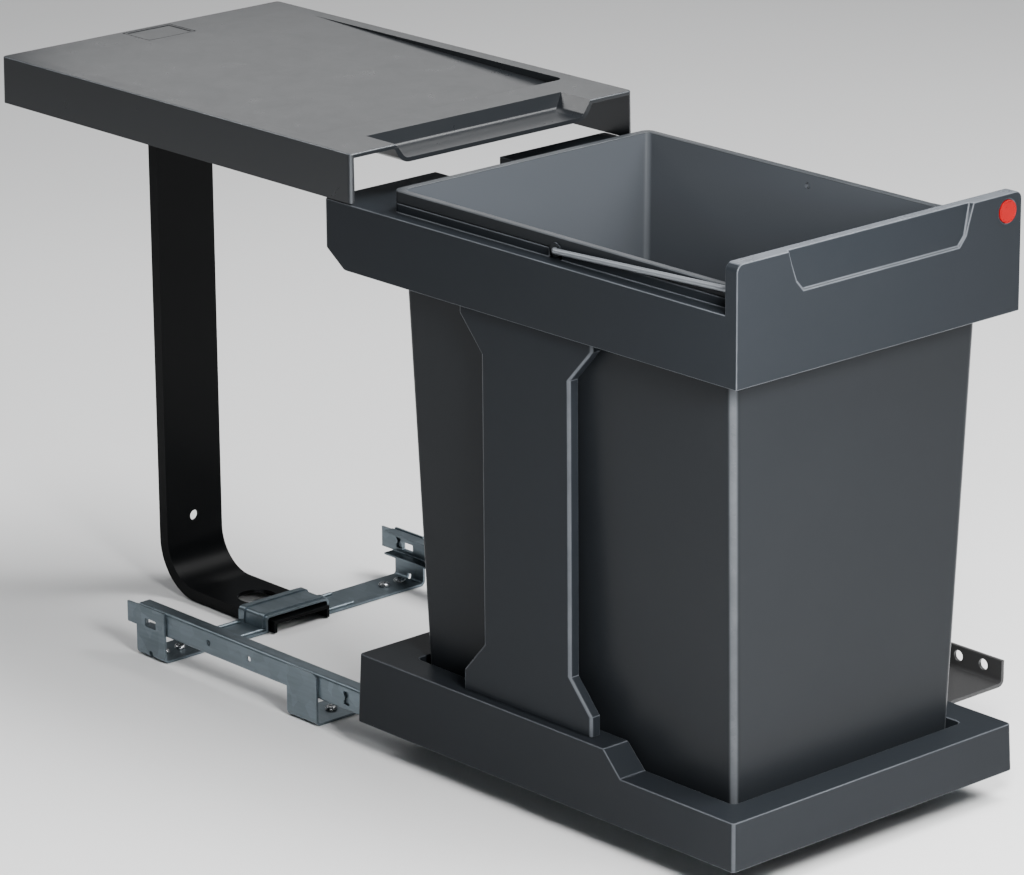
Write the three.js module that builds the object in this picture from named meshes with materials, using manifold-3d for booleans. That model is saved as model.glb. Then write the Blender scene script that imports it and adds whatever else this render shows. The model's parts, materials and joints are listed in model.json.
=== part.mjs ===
// Pull-out waste bin for a cabinet with a hinged door. A carriage of tray, uprights and top frame
// runs on two telescopic slides and carries a lift-out bin. The lid stays in the cabinet on a steel
// arm, and the bin runs in underneath it.
// Millimetres. +Z is up, the user stands on the -Y side, +X is to the user's right. The origin is on
// the cabinet floor, under the middle of the front cross member. The carriage is pulled out.
import * as THREE from 'three';
import { mergeVertices } from 'three/addons/utils/BufferGeometryUtils.js';
import Module from 'manifold-3d';

const wasm = await Module();
wasm.setup();

// Overall sizes
const frameWidth = 255.2;
const frameLength = 390.5;
const trayWidth = 259.6;
const trayLength = 366;
const travel = 349;
const closedFront = -81.2;
const floorGap = 20.4;

// Heights above the cabinet floor, and what stands above and below the bin's rim
const lowDeckTop = 53.4;
const highDeckTop = 69.6;
const binRimTop = 398.7;
const fasciaRise = 19.3;
const lidRise = 1;
const lidSkirtGap = 1.1;
const frameWallRise = 6.3;
const frameSkirt = 46.2;

// Clearances
const fitGap = 0.3;
const slideGap = 0.5;

// Bin
const binRimWidth = 232;
const binRimLength = 319;
const binBaseWidth = 197.8;
const binBaseLength = 293.6;
const binLipHeight = 7.6;
const binLipReach = 3;
const binWall = 2.5;
const binCorner = 6;
const binFloorGap = 1.2;
const binHangGap = 0.7;

// Bail handle
const wireRadius = 2;
const bailPivotDrop = 8.7;
const bailRise = 8;
const bossRadius = 4.8;
const bossReach = 4.4;
const bailTurnRadius = 7;
const bailRoom = 4.9;

// Tray
const trayWall = 3;
const trayDraft = 1.6;
const trayCorner = 3;
const trayLead = 2.5;
const pocketGap = 4.9;
const stepStart = 105.3;
const stepRun = 16.5;
const armGap = 4;

// Top frame and fascia
const fasciaThickness = 10.7;
const frameWall = 3;
const frameWallDepth = 30;
const binSlip = 1.2;
const frameChamferRun = 16.8;
const frameChamferRise = 11.8;
const frameNotchDepth = 45;
const gripRecessDepth = 1.5;
const gripRecessTopWidth = 169;
const gripRecessMidWidth = 155;
const gripRecessLowWidth = 143;
const gripRecessHeight = 29.4;
const gripRecessCornerRise = 7;
const badgeRadius = 7.6;
const badgeThickness = 1.4;
const badgeInset = 13.5;
const badgeDrop = 11.5;

// Uprights
const uprightThickness = 8;
const uprightInset = 6.3;
const uprightShift = 25;
const neckWidth = 84.4;
const footWidth = 124.4;
const headWidth = 127;
const footStraight = 13.8;
const footFlare = 22.3;
const headFlareDrop = 30.4;
const headFlareRise = 23.3;
const tongueThickness = 3.6;

// Base members of folded sheet
const sheet = 1.8;
const memberWidth = 32;
const memberSpacing = 169;
const plateTop = 38.1;
const plateGap = 3.2;
const plateChamferRun = 11;
const plateChamferRise = 5.5;
const clipGap = 2;
const beadLength = 26;
const beadWidth = 4;
const beadHeight = 2.2;
const windowLength = 12.6;
const windowHeight = 6.4;
const windowRise = 26.5;

// Slides
const outerSheet = 1.4;
const middleSheet = 1.2;
const railHeight = 18.7;
const outerTipGap = 1.05;
const middleTipGap = 2.75;
const railFrontInset = 7;
const railTailOut = 198;
const tailLength = 13;
const tailTrim = 1.6;
const middleLength = 268;
const innerLength = 350;
const innerRailGap = 5.7;
const middleShare = 0.5;

// Lid
const lidWall = 3;
const lidDraft = 0.5;
const lidFrontGap = 2.4;
const lidRearGap = 4.6;
const recessWidth = 231;
const recessFrontMargin = 57;
const recessRearMargin = 55;
const recessDepth = 6;
const gripTopWidth = 176.6;
const gripLowWidth = 160;
const gripLength = 31.7;
const gripDepth = 10.9;
const gripBackSlope = 5;
const latchWidth = 42;
const latchLength = 30;
const latchThickness = 2.8;
const latchGap = 0.8;
const pegRadius = 3;
const pegSpacing = 20;
const pegLength = 5.4;

// Lid arm
const armWidth = 52;
const armWeb = 2.4;
const armDepth = 9;
const armBend = 32;
const armToe = 21;
const armHoleRadius = 4;
const armHoleHeight = 54.8;
const footHoleRadius = 14.5;
const footHoleSetback = 52;

// Door bracket
const bracketSheet = 2.5;
const bracketLength = 75;
const bracketReach = 190;
const bracketHeight = 18.5;
const bracketUnderside = 46.6;
const bracketHoleRadius = 4;
const bracketHoleFront = 17;
const bracketHoleSpacing = 23;
const bracketHoleHeight = 11.5;
const bracketEndRadius = 8;
const bracketFrontInset = 64;
const swivelGap = 4;
const pinInset = 12.3;
const pinRadius = 3;
const pinHeadRadius = 6;
const pinHeadHeight = 2.4;

// Screws
const screwRadius = 2.2;
const screwHeadRadius = 4.4;
const screwHeadHeight = 2.3;
const floorScrewOuter = 112;
const floorScrewInner = 97;
const railScrewInset = 26;
const footScrewSpacing = 96;
const footScrewDepth = 9;

// Places that follow from the sizes
const frameWallTop = binRimTop - binLipHeight - binHangGap;
const ledgeTop = frameWallTop - frameWallRise;
const frameBottom = ledgeTop - frameSkirt;
const fasciaTop = binRimTop + fasciaRise;
const lidTop = fasciaTop + lidRise;
const lidBottom = ledgeTop + lidSkirtGap;
const bailPivotTop = binRimTop - bailPivotDrop;
const fasciaFront = closedFront - travel;
const fasciaBack = fasciaFront + fasciaThickness;
const frameRear = fasciaFront + frameLength;
const trayFront = fasciaFront - trayLead;
const trayRear = trayFront + trayLength;
const binCentre = fasciaBack + bailRoom + binRimLength / 2;
const binBottom = floorGap + trayWall + binFloorGap;
const uprightCentre = binCentre + uprightShift;
const lidFront = fasciaBack + travel + lidFrontGap;
const lidRear = frameRear + travel + lidRearGap + lidWall;
const armFront = lidRear - lidWall - latchGap - latchLength - armDepth - 2.2;
const armFootTop = armDepth + 0.4;
const plateOuter = trayWidth / 2 - trayWall - plateGap;
const railOuter = plateOuter - sheet - fitGap;
const railBottom = plateTop - railHeight;
const railFront = closedFront + railFrontInset;
const middleTravel = travel * middleShare;
const pocketHalfWidth = binHalf(binBaseWidth, binRimWidth, highDeckTop) + pocketGap;
const pocketHalfLength = binHalf(binBaseLength, binRimLength, highDeckTop) + pocketGap;
const pocketBlockX = pocketHalfWidth + trayWall;
const pocketRear = binCentre + pocketHalfLength + trayWall;
const frameHoleHalfWidth = binHalf(binBaseWidth, binRimWidth, ledgeTop) + binSlip;
const frameHoleHalfLength = binHalf(binBaseLength, binRimLength, ledgeTop) + binSlip;
const innerWeb = pocketBlockX + fitGap;
const middleWeb = railOuter - outerSheet - slideGap;
const innerTip = middleWeb - middleSheet - slideGap;
const railBack = innerWeb + middleSheet;
const stepFoot = trayFront + stepStart;
const pinX = trayWidth / 2 - pinInset;
const pinY = trayFront + bracketFrontInset + bracketLength / 2;

// Half the bin body's width or length at a height, from its two ends
function binHalf(base, rim, height) {
  const top = rim / 2 - binLipReach;
  const share = (height - binBottom) / (binRimTop - binBottom);
  return base / 2 + (top - base / 2) * share;
}

// Solids ------------------------------------------------------------------------------------

function toSolid(geometry) {
  const bare = geometry.index ? geometry.toNonIndexed() : geometry.clone();
  bare.deleteAttribute('normal');
  bare.deleteAttribute('uv');
  const merged = mergeVertices(bare, 1e-4);
  return new wasm.Manifold(new wasm.Mesh({
    numProp: 3,
    vertProperties: new Float32Array(merged.attributes.position.array),
    triVerts: new Uint32Array(merged.index.array),
  }));
}

function toGeometry(solid) {
  const mesh = solid.getMesh();
  const geometry = new THREE.BufferGeometry();
  geometry.setAttribute('position', new THREE.BufferAttribute(new Float32Array(mesh.vertProperties), 3));
  geometry.setIndex(new THREE.BufferAttribute(new Uint32Array(mesh.triVerts), 1));
  return geometry;
}

function box(x0, x1, y0, y1, z0, z1) {
  const geometry = new THREE.BoxGeometry(x1 - x0, y1 - y0, z1 - z0);
  geometry.translate((x0 + x1) / 2, (y0 + y1) / 2, (z0 + z1) / 2);
  return toSolid(geometry);
}

// A block centred on a place in plan
function blockAt(x, y, halfX, halfY, z0, z1) {
  return box(x - halfX, x + halfX, y - halfY, y + halfY, z0, z1);
}

function prism(points, from, to) {
  const shape = new THREE.Shape(points.map(([a, b]) => new THREE.Vector2(a, b)));
  const geometry = new THREE.ExtrudeGeometry(shape, { depth: to - from, bevelEnabled: false });
  return geometry.translate(0, 0, from);
}

// An outline in YZ, drawn out along X
function prismX(points, from, to) {
  const turn = new THREE.Matrix4().set(0, 0, 1, 0, 1, 0, 0, 0, 0, 1, 0, 0, 0, 0, 0, 1);
  return toSolid(prism(points, from, to).applyMatrix4(turn));
}

// An outline in XZ, drawn out along Y
function prismY(points, from, to) {
  const turn = new THREE.Matrix4().set(0, 1, 0, 0, 0, 0, 1, 0, 1, 0, 0, 0, 0, 0, 0, 1);
  return toSolid(prism(points.map(([x, z]) => [z, x]), from, to).applyMatrix4(turn));
}

// An outline in XY, drawn out along Z
function prismZ(points, from, to) {
  return toSolid(prism(points, from, to));
}

// A round bar between two ends along the axis 'x', 'y' or 'z'
function rod(axis, radius, from, to, a, b, sides = 20) {
  const geometry = new THREE.CylinderGeometry(radius, radius, to - from, sides);
  const middle = (from + to) / 2;
  if (axis === 'x') geometry.rotateZ(-Math.PI / 2).translate(middle, a, b);
  if (axis === 'y') geometry.translate(a, middle, b);
  if (axis === 'z') geometry.rotateX(Math.PI / 2).translate(a, b, middle);
  return toSolid(geometry);
}

// The corners of a rectangle with round corners, counterclockwise from above
function roundRect(halfX, halfY, radius, z, centreY = 0, steps = 4) {
  const points = [];
  for (let corner = 0; corner < 4; corner += 1) {
    const sx = corner === 0 || corner === 3 ? 1 : -1;
    const sy = corner < 2 ? 1 : -1;
    for (let i = 0; i <= steps; i += 1) {
      const angle = (corner + i / steps) * Math.PI / 2;
      const x = sx * (halfX - radius) + radius * Math.cos(angle);
      const y = sy * (halfY - radius) + radius * Math.sin(angle) + centreY;
      points.push(new THREE.Vector3(x, y, z));
    }
  }
  return points;
}

// A closed skin over rings of equal length, capped on the first ring and the last
function loft(rings) {
  const count = rings[0].length;
  const positions = [];
  const face = (a, b, c) => positions.push(...a.toArray(), ...b.toArray(), ...c.toArray());
  for (let r = 0; r + 1 < rings.length; r += 1) {
    for (let i = 0; i < count; i += 1) {
      const j = (i + 1) % count;
      face(rings[r][i], rings[r][j], rings[r + 1][j]);
      face(rings[r][i], rings[r + 1][j], rings[r + 1][i]);
    }
  }
  const first = rings[0];
  const last = rings[rings.length - 1];
  for (let i = 1; i + 1 < count; i += 1) {
    face(first[0], first[i + 1], first[i]);
    face(last[0], last[i], last[i + 1]);
  }
  const geometry = new THREE.BufferGeometry();
  geometry.setAttribute('position', new THREE.Float32BufferAttribute(positions, 3));
  return toSolid(geometry);
}

// The outline of a folded sheet whose outer line is given, thickened to its left
function foldedSheet(line, thickness) {
  const inner = line.map((point, i) => {
    const before = line[Math.max(i - 1, 0)];
    const after = line[Math.min(i + 1, line.length - 1)];
    const a = i === 0 ? after : point;
    const start = i === 0 ? point : before;
    const n0 = leftNormal(start, a);
    const n1 = i + 1 < line.length ? leftNormal(point, after) : n0;
    const scale = thickness / (1 + n0[0] * n1[0] + n0[1] * n1[1]);
    return [point[0] + (n0[0] + n1[0]) * scale, point[1] + (n0[1] + n1[1]) * scale];
  });
  return [...line, ...inner.reverse()];
}

function leftNormal([x0, y0], [x1, y1]) {
  const length = Math.hypot(x1 - x0, y1 - y0);
  return [-(y1 - y0) / length, (x1 - x0) / length];
}

function cutAll(solid, cutters) {
  return cutters.reduce((rest, cutter) => rest.subtract(cutter), solid);
}

function mirrorX(solid) {
  const geometry = toGeometry(solid).toNonIndexed();
  const p = geometry.attributes.position;
  for (let i = 0; i < p.count; i += 3) {
    const [x1, y1, z1] = [p.getX(i + 1), p.getY(i + 1), p.getZ(i + 1)];
    p.setXYZ(i, -p.getX(i), p.getY(i), p.getZ(i));
    p.setXYZ(i + 1, -p.getX(i + 2), p.getY(i + 2), p.getZ(i + 2));
    p.setXYZ(i + 2, -x1, y1, z1);
  }
  return toSolid(geometry);
}

// A screw with a domed head, its shank running from the head's seat to the tip along the axis
function screw(axis, seat, tip, a, b) {
  const out = Math.sign(seat - tip);
  const headEnd = seat + out * screwHeadHeight;
  const head = rod(axis, screwHeadRadius, Math.min(seat, headEnd), Math.max(seat, headEnd), a, b, 16);
  const root = seat + out * 0.1;
  return head.add(rod(axis, screwRadius, Math.min(root, tip), Math.max(root, tip), a, b, 12));
}

function screwHole(axis, from, to, a, b) {
  return rod(axis, screwRadius + fitGap, from, to, a, b, 12);
}

// Base ---------------------------------------------------------------------------------------

function windowCut(side, y) {
  const half = windowHeight / 2;
  return blockAt(side * plateOuter, y, 6, windowLength / 2, windowRise - half, windowRise + half);
}

function floorScrews(y) {
  const places = y === 0 ? [floorScrewInner] : [floorScrewInner, floorScrewOuter];
  return places.flatMap((x) => [[-x, y], [x, y]]);
}

function frontCrossMember() {
  const outline = foldedSheet([
    [-plateOuter, plateTop], [-plateOuter, 0], [plateOuter, 0], [plateOuter, plateTop],
  ], sheet);
  const half = memberWidth / 2;
  const chamfer = [
    [-half - 1, plateTop - plateChamferRise - 0.5], [-half, plateTop - plateChamferRise],
    [-half + plateChamferRun, plateTop], [-half + plateChamferRun, plateTop + 1], [-half - 1, plateTop + 1],
  ];
  return cutAll(prismY(outline, -half, half), [
    prismX(chamfer, -plateOuter - 1, plateOuter + 1),
    ...floorScrews(0).map(([x, y]) => screwHole('z', -1, sheet + 1, x, y)),
  ]);
}

function rearCrossMember() {
  const clipX = armWidth / 2 + clipGap;
  const clipTop = armFootTop + clipGap;
  const outline = foldedSheet([
    [-plateOuter, plateTop], [-plateOuter, 0], [-clipX, 0], [-clipX, clipTop],
    [clipX, clipTop], [clipX, 0], [plateOuter, 0], [plateOuter, plateTop],
  ], sheet);
  const y = memberSpacing;
  const half = memberWidth / 2;
  let solid = prismY(outline, y - half, y + half);
  for (const side of [-1, 1]) {
    for (const end of [-1, 1]) {
      const near = clipX + sheet - 0.4;
      const edge = y + end * (half - beadWidth / 2 - 1.2);
      const x = side * (near + beadLength / 2);
      solid = solid.add(blockAt(x, edge, beadLength / 2, beadWidth / 2, sheet / 2, sheet + beadHeight));
    }
    const x = side * plateOuter;
    solid = cutAll(solid, [windowCut(side, y), box(x - 3, x + 3, y - 2, y + 2, -1, sheet + 4)]);
  }
  return cutAll(solid, floorScrews(y).map(([x, at]) => screwHole('z', -1, sheet + 1, x, at)));
}

// A channel whose web faces outward on the left side, open towards the middle
function channel(webX, depth, thickness, z0, z1, y0, y1) {
  const hollow = box(webX + thickness, webX + depth + 1, y0 - 1, y1 + 1, z0 + thickness, z1 - thickness);
  return box(webX, webX + depth, y0, y1, z0, z1).subtract(hollow);
}

function leftOuterRail() {
  const railDepth = railOuter - railBack - outerTipGap;
  const rail = channel(-railOuter, railDepth, outerSheet, railBottom, plateTop, railFront, railTailOut);
  const x = -railOuter;
  const tail = railTailOut - tailLength;
  return cutAll(rail, [
    windowCut(-1, memberSpacing),
    windowCut(-1, -memberWidth / 2 - 24),
    box(x - 1, x + railDepth + 1, tail, railTailOut + 1, railBottom - 1, railBottom + tailTrim),
    box(x - 1, x + railDepth + 1, tail, railTailOut + 1, plateTop - tailTrim, plateTop + 1),
  ]);
}

function leftMiddleRail() {
  const lift = outerSheet + slideGap;
  const depth = middleWeb - railBack - middleTipGap;
  const front = railFront - middleTravel;
  const z0 = railBottom + lift;
  return channel(-middleWeb, depth, middleSheet, z0, plateTop - lift, front, front + middleLength);
}

function leftInnerRail() {
  const lift = outerSheet + middleSheet + 2 * slideGap;
  const front = trayFront + trayWall + innerRailGap;
  const z0 = railBottom + lift;
  const z1 = plateTop - lift;
  const depth = innerTip - innerWeb;
  const flanges = mirrorX(channel(innerWeb, depth, middleSheet, z0, z1, front, front + innerLength));
  const z = (z0 + z1) / 2;
  return cutAll(flanges, railScrewPlaces().map((y) => screwHole('x', -innerWeb - 5, -innerWeb + 1, y, z)));
}

function railScrewPlaces() {
  const front = trayFront + trayWall + innerRailGap;
  return [front + railScrewInset, front + innerLength - railScrewInset];
}

function leftRailScrew(y) {
  const seat = -(innerWeb + middleSheet + fitGap);
  return screw('x', seat, -(pocketHalfWidth + fitGap), y, railBottom + railHeight / 2);
}

// Lid arm and lid ------------------------------------------------------------------------------

// The arm's side outline between two offsets behind its front face
function armOutline(near, far, toe, top) {
  const centreY = armFront - armBend;
  const centreZ = armFootTop + armBend;
  const arc = (radius) => Array.from({ length: 9 }, (_, i) => {
    const angle = (i / 8) * Math.PI / 2;
    return [centreY + radius * Math.cos(angle), centreZ - radius * Math.sin(angle)];
  });
  const inner = arc(armBend + near);
  const outer = arc(armBend + far).reverse();
  return [
    [armFront + near, top], ...inner, [toe, armFootTop - near],
    [toe, armFootTop - far], ...outer, [armFront + far, top],
  ];
}

function lidArm() {
  const toe = memberSpacing - armToe;
  const headTop = lidTop - lidWall - fitGap;
  const half = armWidth / 2;
  const outer = prismX(armOutline(0, armDepth, toe, headTop), -half, half);
  const hollow = prismX(
    armOutline(armWeb, armDepth + 4, toe - armWeb, headTop - armWeb),
    -half + armWeb,
    half - armWeb,
  );
  const headRear = lidRear - lidWall - latchGap;
  const head = box(-half, half, armFront, headRear, headTop - armWeb, headTop);
  const pegY = latchCentre();
  return cutAll(outer.subtract(hollow).add(head), [
    rod('y', armHoleRadius, armFront - 1, armFront + armWeb + 1, 0, armHoleHeight),
    rod('z', footHoleRadius, 1, armFootTop + 1, 0, toe + footHoleSetback, 28),
    ...pegPlaces().map((x) => rod('z', pegRadius + fitGap, headTop - 5, headTop + 1, x, pegY, 14)),
  ]);
}

function pegPlaces() {
  return [-pegSpacing / 2, pegSpacing / 2];
}

function latchCentre() {
  return lidRear - lidWall - latchGap - latchLength / 2 - 1;
}

function lidLatch() {
  const z0 = lidTop - lidWall + fitGap / 2;
  const y = latchCentre();
  const plate = blockAt(0, y, latchWidth / 2, latchLength / 2, z0, z0 + latchThickness);
  const pegs = pegPlaces().map((x) => rod('z', pegRadius, z0 - pegLength, z0 + 0.2, x, y, 14));
  return pegs.reduce((solid, peg) => solid.add(peg), plate);
}

function lid() {
  const middle = (lidFront + lidRear) / 2;
  const halfLength = (lidRear - lidFront) / 2;
  const halfWidth = frameWidth / 2;
  const shell = loft([
    roundRect(halfWidth + lidDraft, halfLength, 2.5, lidBottom, middle, 2),
    roundRect(halfWidth, halfLength - lidDraft, 2.5, lidTop, middle, 2),
  ]);
  const inside = halfWidth - lidWall;
  const skin = lidTop - lidWall;
  const cavity = box(-inside, inside, lidFront - 2, lidRear - lidWall, lidBottom - 1, skin);
  const recessFront = lidFront + recessFrontMargin;
  const recessRear = lidRear - recessRearMargin;
  const pan = prismX([
    [recessFront - lidWall, skin - recessDepth], [recessRear, skin - 0.2],
    [recessRear, skin + 0.5], [recessFront - lidWall, skin + 0.5],
  ], -recessWidth / 2 - lidWall, recessWidth / 2 + lidWall);
  const recess = prismX([
    [recessFront, lidTop - recessDepth], [recessRear, lidTop],
    [recessRear, lidTop + 2], [recessFront, lidTop + 2],
  ], -recessWidth / 2, recessWidth / 2);
  const y = latchCentre();
  const windowX = latchWidth / 2 + latchGap;
  const windowY = latchLength / 2 + latchGap;
  const solid = shell.subtract(cavity).add(pan).add(lidGripBlock()).subtract(recess).subtract(lidGripCut());
  return solid.subtract(box(-windowX, windowX, y - windowY, y + windowY, skin - 2, lidTop + 2));
}

function gripOutline(grow) {
  const low = lidTop - gripDepth - grow;
  return [
    [-gripLowWidth / 2 - grow, low], [gripLowWidth / 2 + grow, low],
    [gripTopWidth / 2 + grow, lidTop - lidWall + 0.5], [-gripTopWidth / 2 - grow, lidTop - lidWall + 0.5],
  ];
}

function lidGripBlock() {
  return prismY(gripOutline(lidWall), lidFront, lidFront + gripLength + lidWall);
}

function lidGripCut() {
  const back = lidFront + gripLength;
  const slopeCut = prismX([
    [lidFront - 2, lidTop - gripDepth], [back - gripBackSlope, lidTop - gripDepth],
    [back, lidTop], [back, lidTop + 2], [lidFront - 2, lidTop + 2],
  ], -gripTopWidth, gripTopWidth);
  const low = lidTop - gripDepth;
  const ends = prismY([
    [-gripLowWidth / 2, low - 1], [gripLowWidth / 2, low - 1],
    [gripTopWidth / 2 + 1.5, lidTop + 2], [-gripTopWidth / 2 - 1.5, lidTop + 2],
  ], lidFront - 2, back + 1);
  return slopeCut.intersect(ends);
}

// Carriage -------------------------------------------------------------------------------------

// The line of the deck from front to rear, lowered by an amount
function deckLine(y0, y1, drop) {
  return [
    [y0, lowDeckTop - drop], [stepFoot + drop * 0.4, lowDeckTop - drop],
    [stepFoot + stepRun + drop * 0.4, highDeckTop - drop], [y1, highDeckTop - drop],
  ];
}

function trayOuter() {
  const half = trayLength / 2;
  const middle = trayFront + half;
  const block = loft([
    roundRect(trayWidth / 2, half, trayCorner, floorGap, middle),
    roundRect(trayWidth / 2 - trayDraft, half - trayDraft, trayCorner, highDeckTop, middle),
  ]);
  const deck = deckLine(trayFront - 5, trayRear + 5, 0);
  const over = highDeckTop + 9;
  const above = prismX([[trayRear + 5, over], [trayFront - 5, over], ...deck], -trayWidth, trayWidth);
  return block.subtract(above);
}

function trayCavity() {
  const half = trayWidth / 2 - trayWall - trayDraft;
  const y0 = trayFront + trayWall + trayDraft;
  const y1 = trayRear - trayWall - trayDraft;
  const low = floorGap - 2;
  const under = prismX([[y0, low], [y1, low], ...deckLine(y0, y1, trayWall).reverse()], -half, half);
  const kept = loft([
    roundRect(pocketBlockX, pocketHalfLength + trayWall, binCorner + 1, floorGap - 3, binCentre),
    roundRect(pocketBlockX, pocketHalfLength + trayWall, binCorner + 1, highDeckTop, binCentre),
  ]);
  const notch = armWidth / 2 + armGap + trayWall;
  const notchBlock = box(-notch, notch, pocketRear - trayWall, trayRear, low - 1, highDeckTop);
  return under.subtract(kept).subtract(notchBlock);
}

function tray() {
  const pocket = loft([
    roundRect(pocketHalfWidth, pocketHalfLength, binCorner - 2, floorGap + trayWall, binCentre),
    roundRect(pocketHalfWidth, pocketHalfLength, binCorner - 2, highDeckTop + 5, binCentre),
  ]);
  const notch = armWidth / 2 + armGap;
  const passIn = pocketBlockX;
  const passOut = trayWidth / 2 - trayWall - trayDraft / 2;
  const passes = [-1, 1].map((side) => box(
    Math.min(side * passIn, side * passOut),
    Math.max(side * passIn, side * passOut),
    trayRear - 8,
    trayRear + 2,
    floorGap - 2,
    plateTop + plateGap,
  ));
  const slotHalf = bracketLength / 2 + swivelGap;
  const slot = blockAt(trayWidth / 2, pinY, 9, slotHalf, bracketUnderside - 1, lowDeckTop - trayWall);
  const railZ = railBottom + railHeight / 2;
  const sideHoles = [-1, 1].flatMap((side) => railScrewPlaces().map((y) => {
    const [a, b] = [side * (pocketHalfWidth - 1), side * (pocketBlockX + 1)];
    return screwHole('x', Math.min(a, b), Math.max(a, b), y, railZ);
  }));
  const deckHoles = footScrewPlaces().flatMap(([x, y]) => [-x, x].map((at) => (
    screwHole('z', highDeckTop - trayWall - 1, highDeckTop + 1, at, y)
  )));
  return cutAll(trayOuter().subtract(trayCavity()), [
    pocket,
    box(-notch, notch, pocketRear, trayRear + 2, floorGap - 2, highDeckTop + 2),
    ...passes,
    slot,
    ...sideHoles,
    ...deckHoles,
  ]);
}

function uprightOuterX() {
  return frameWidth / 2 - uprightInset;
}

function footScrewPlaces() {
  const x = uprightOuterX() - uprightThickness / 2;
  return [-1, 1].map((end) => [x, uprightCentre + end * footScrewSpacing / 2]);
}

function leftUpright() {
  const z0 = highDeckTop + fitGap;
  const wallBottom = frameWallTop - frameWallDepth;
  const half = [[footWidth, z0], [footWidth, z0 + footStraight], [neckWidth, z0 + footStraight + footFlare],
    [neckWidth, frameBottom - headFlareDrop], [headWidth, frameBottom - headFlareDrop + headFlareRise],
    [headWidth, wallBottom - 1.2]];
  const outline = [
    ...half.map(([w, z]) => [uprightCentre + w / 2, z]),
    ...half.map(([w, z]) => [uprightCentre - w / 2, z]).reverse(),
  ];
  const x0 = -uprightOuterX();
  const plate = prismX(outline, x0, x0 + uprightThickness);
  const tongue = box(
    x0,
    x0 + tongueThickness,
    uprightCentre - headWidth / 2 + 8,
    uprightCentre + headWidth / 2 - 8,
    wallBottom - 3,
    ledgeTop - frameWall - fitGap,
  );
  const holes = footScrewPlaces().map(([x, y]) => screwHole('z', z0 - 1, z0 + footScrewDepth + 1, -x, y));
  return cutAll(plate.add(tongue), holes);
}

function leftFootScrew(y) {
  const x = -(uprightOuterX() - uprightThickness / 2);
  const seat = highDeckTop - trayWall - fitGap;
  return screw('z', seat, highDeckTop + fitGap + footScrewDepth, x, y);
}

function topFrame() {
  const half = frameWidth / 2;
  const profile = [
    [fasciaFront, frameBottom], [frameRear - frameChamferRun, frameBottom],
    [frameRear, frameBottom + frameChamferRise], [frameRear, ledgeTop],
    [fasciaBack, ledgeTop], [fasciaBack, fasciaTop], [fasciaFront, fasciaTop],
  ];
  const outer = prismX(profile, -half, half);
  const inside = half - frameWall;
  const rearInside = frameRear - frameWall;
  const cavity = box(-inside, inside, fasciaBack, rearInside, frameBottom - 1, ledgeTop - frameWall);
  const notch = armWidth / 2 + armGap - 1;
  const notchFront = frameRear - frameNotchDepth;
  const keptX = notch + frameWall;
  const kept = box(-keptX, keptX, notchFront - frameWall, frameRear, frameBottom - 2, ledgeTop);
  const wallX = frameHoleHalfWidth + frameWall;
  const wallY = frameHoleHalfLength + frameWall;
  const wall = loft([
    roundRect(wallX, wallY, binCorner + 2, frameWallTop - frameWallDepth, binCentre),
    roundRect(wallX, wallY, binCorner + 2, frameWallTop, binCentre),
  ]);
  const hole = loft([
    roundRect(frameHoleHalfWidth, frameHoleHalfLength, binCorner, frameBottom - 5, binCentre),
    roundRect(frameHoleHalfWidth, frameHoleHalfLength, binCorner, frameWallTop + 5, binCentre),
  ]);
  const bossHalf = bossRadius + binSlip;
  const bossCut = blockAt(0, binCentre, wallX + 1, bossHalf, ledgeTop, frameWallTop + 2);
  return cutAll(outer.subtract(cavity.subtract(kept)).add(wall), [
    hole,
    box(-notch, notch, notchFront, frameRear + 2, frameBottom - 3, ledgeTop + 3),
    bossCut,
    gripRecess(),
    badgeSeat(),
  ]);
}

function gripRecess() {
  const low = fasciaTop - gripRecessHeight;
  const half = [
    [gripRecessLowWidth / 2, low], [gripRecessMidWidth / 2, low + gripRecessCornerRise],
    [gripRecessTopWidth / 2, fasciaTop], [gripRecessTopWidth / 2, fasciaTop + 2],
  ];
  const outline = [...half, ...half.map(([x, z]) => [-x, z]).reverse()];
  return prismY(outline, fasciaFront - 1, fasciaFront + gripRecessDepth);
}

function badgePlace() {
  return [frameWidth / 2 - badgeInset, fasciaTop - badgeDrop];
}

function badgeSeat() {
  const [x, z] = badgePlace();
  return rod('y', badgeRadius + fitGap, fasciaFront - 1, fasciaFront + 0.8, x, z, 28);
}

function badge() {
  const [x, z] = badgePlace();
  const back = fasciaFront + 0.8 - fitGap;
  return rod('y', badgeRadius, back - badgeThickness, back, x, z, 28);
}

// Bin and bail ---------------------------------------------------------------------------------

function binRing(height, inset, radius) {
  const halfX = binHalf(binBaseWidth, binRimWidth, height) - inset;
  const halfY = binHalf(binBaseLength, binRimLength, height) - inset;
  return roundRect(halfX, halfY, radius, height, binCentre);
}

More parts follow.
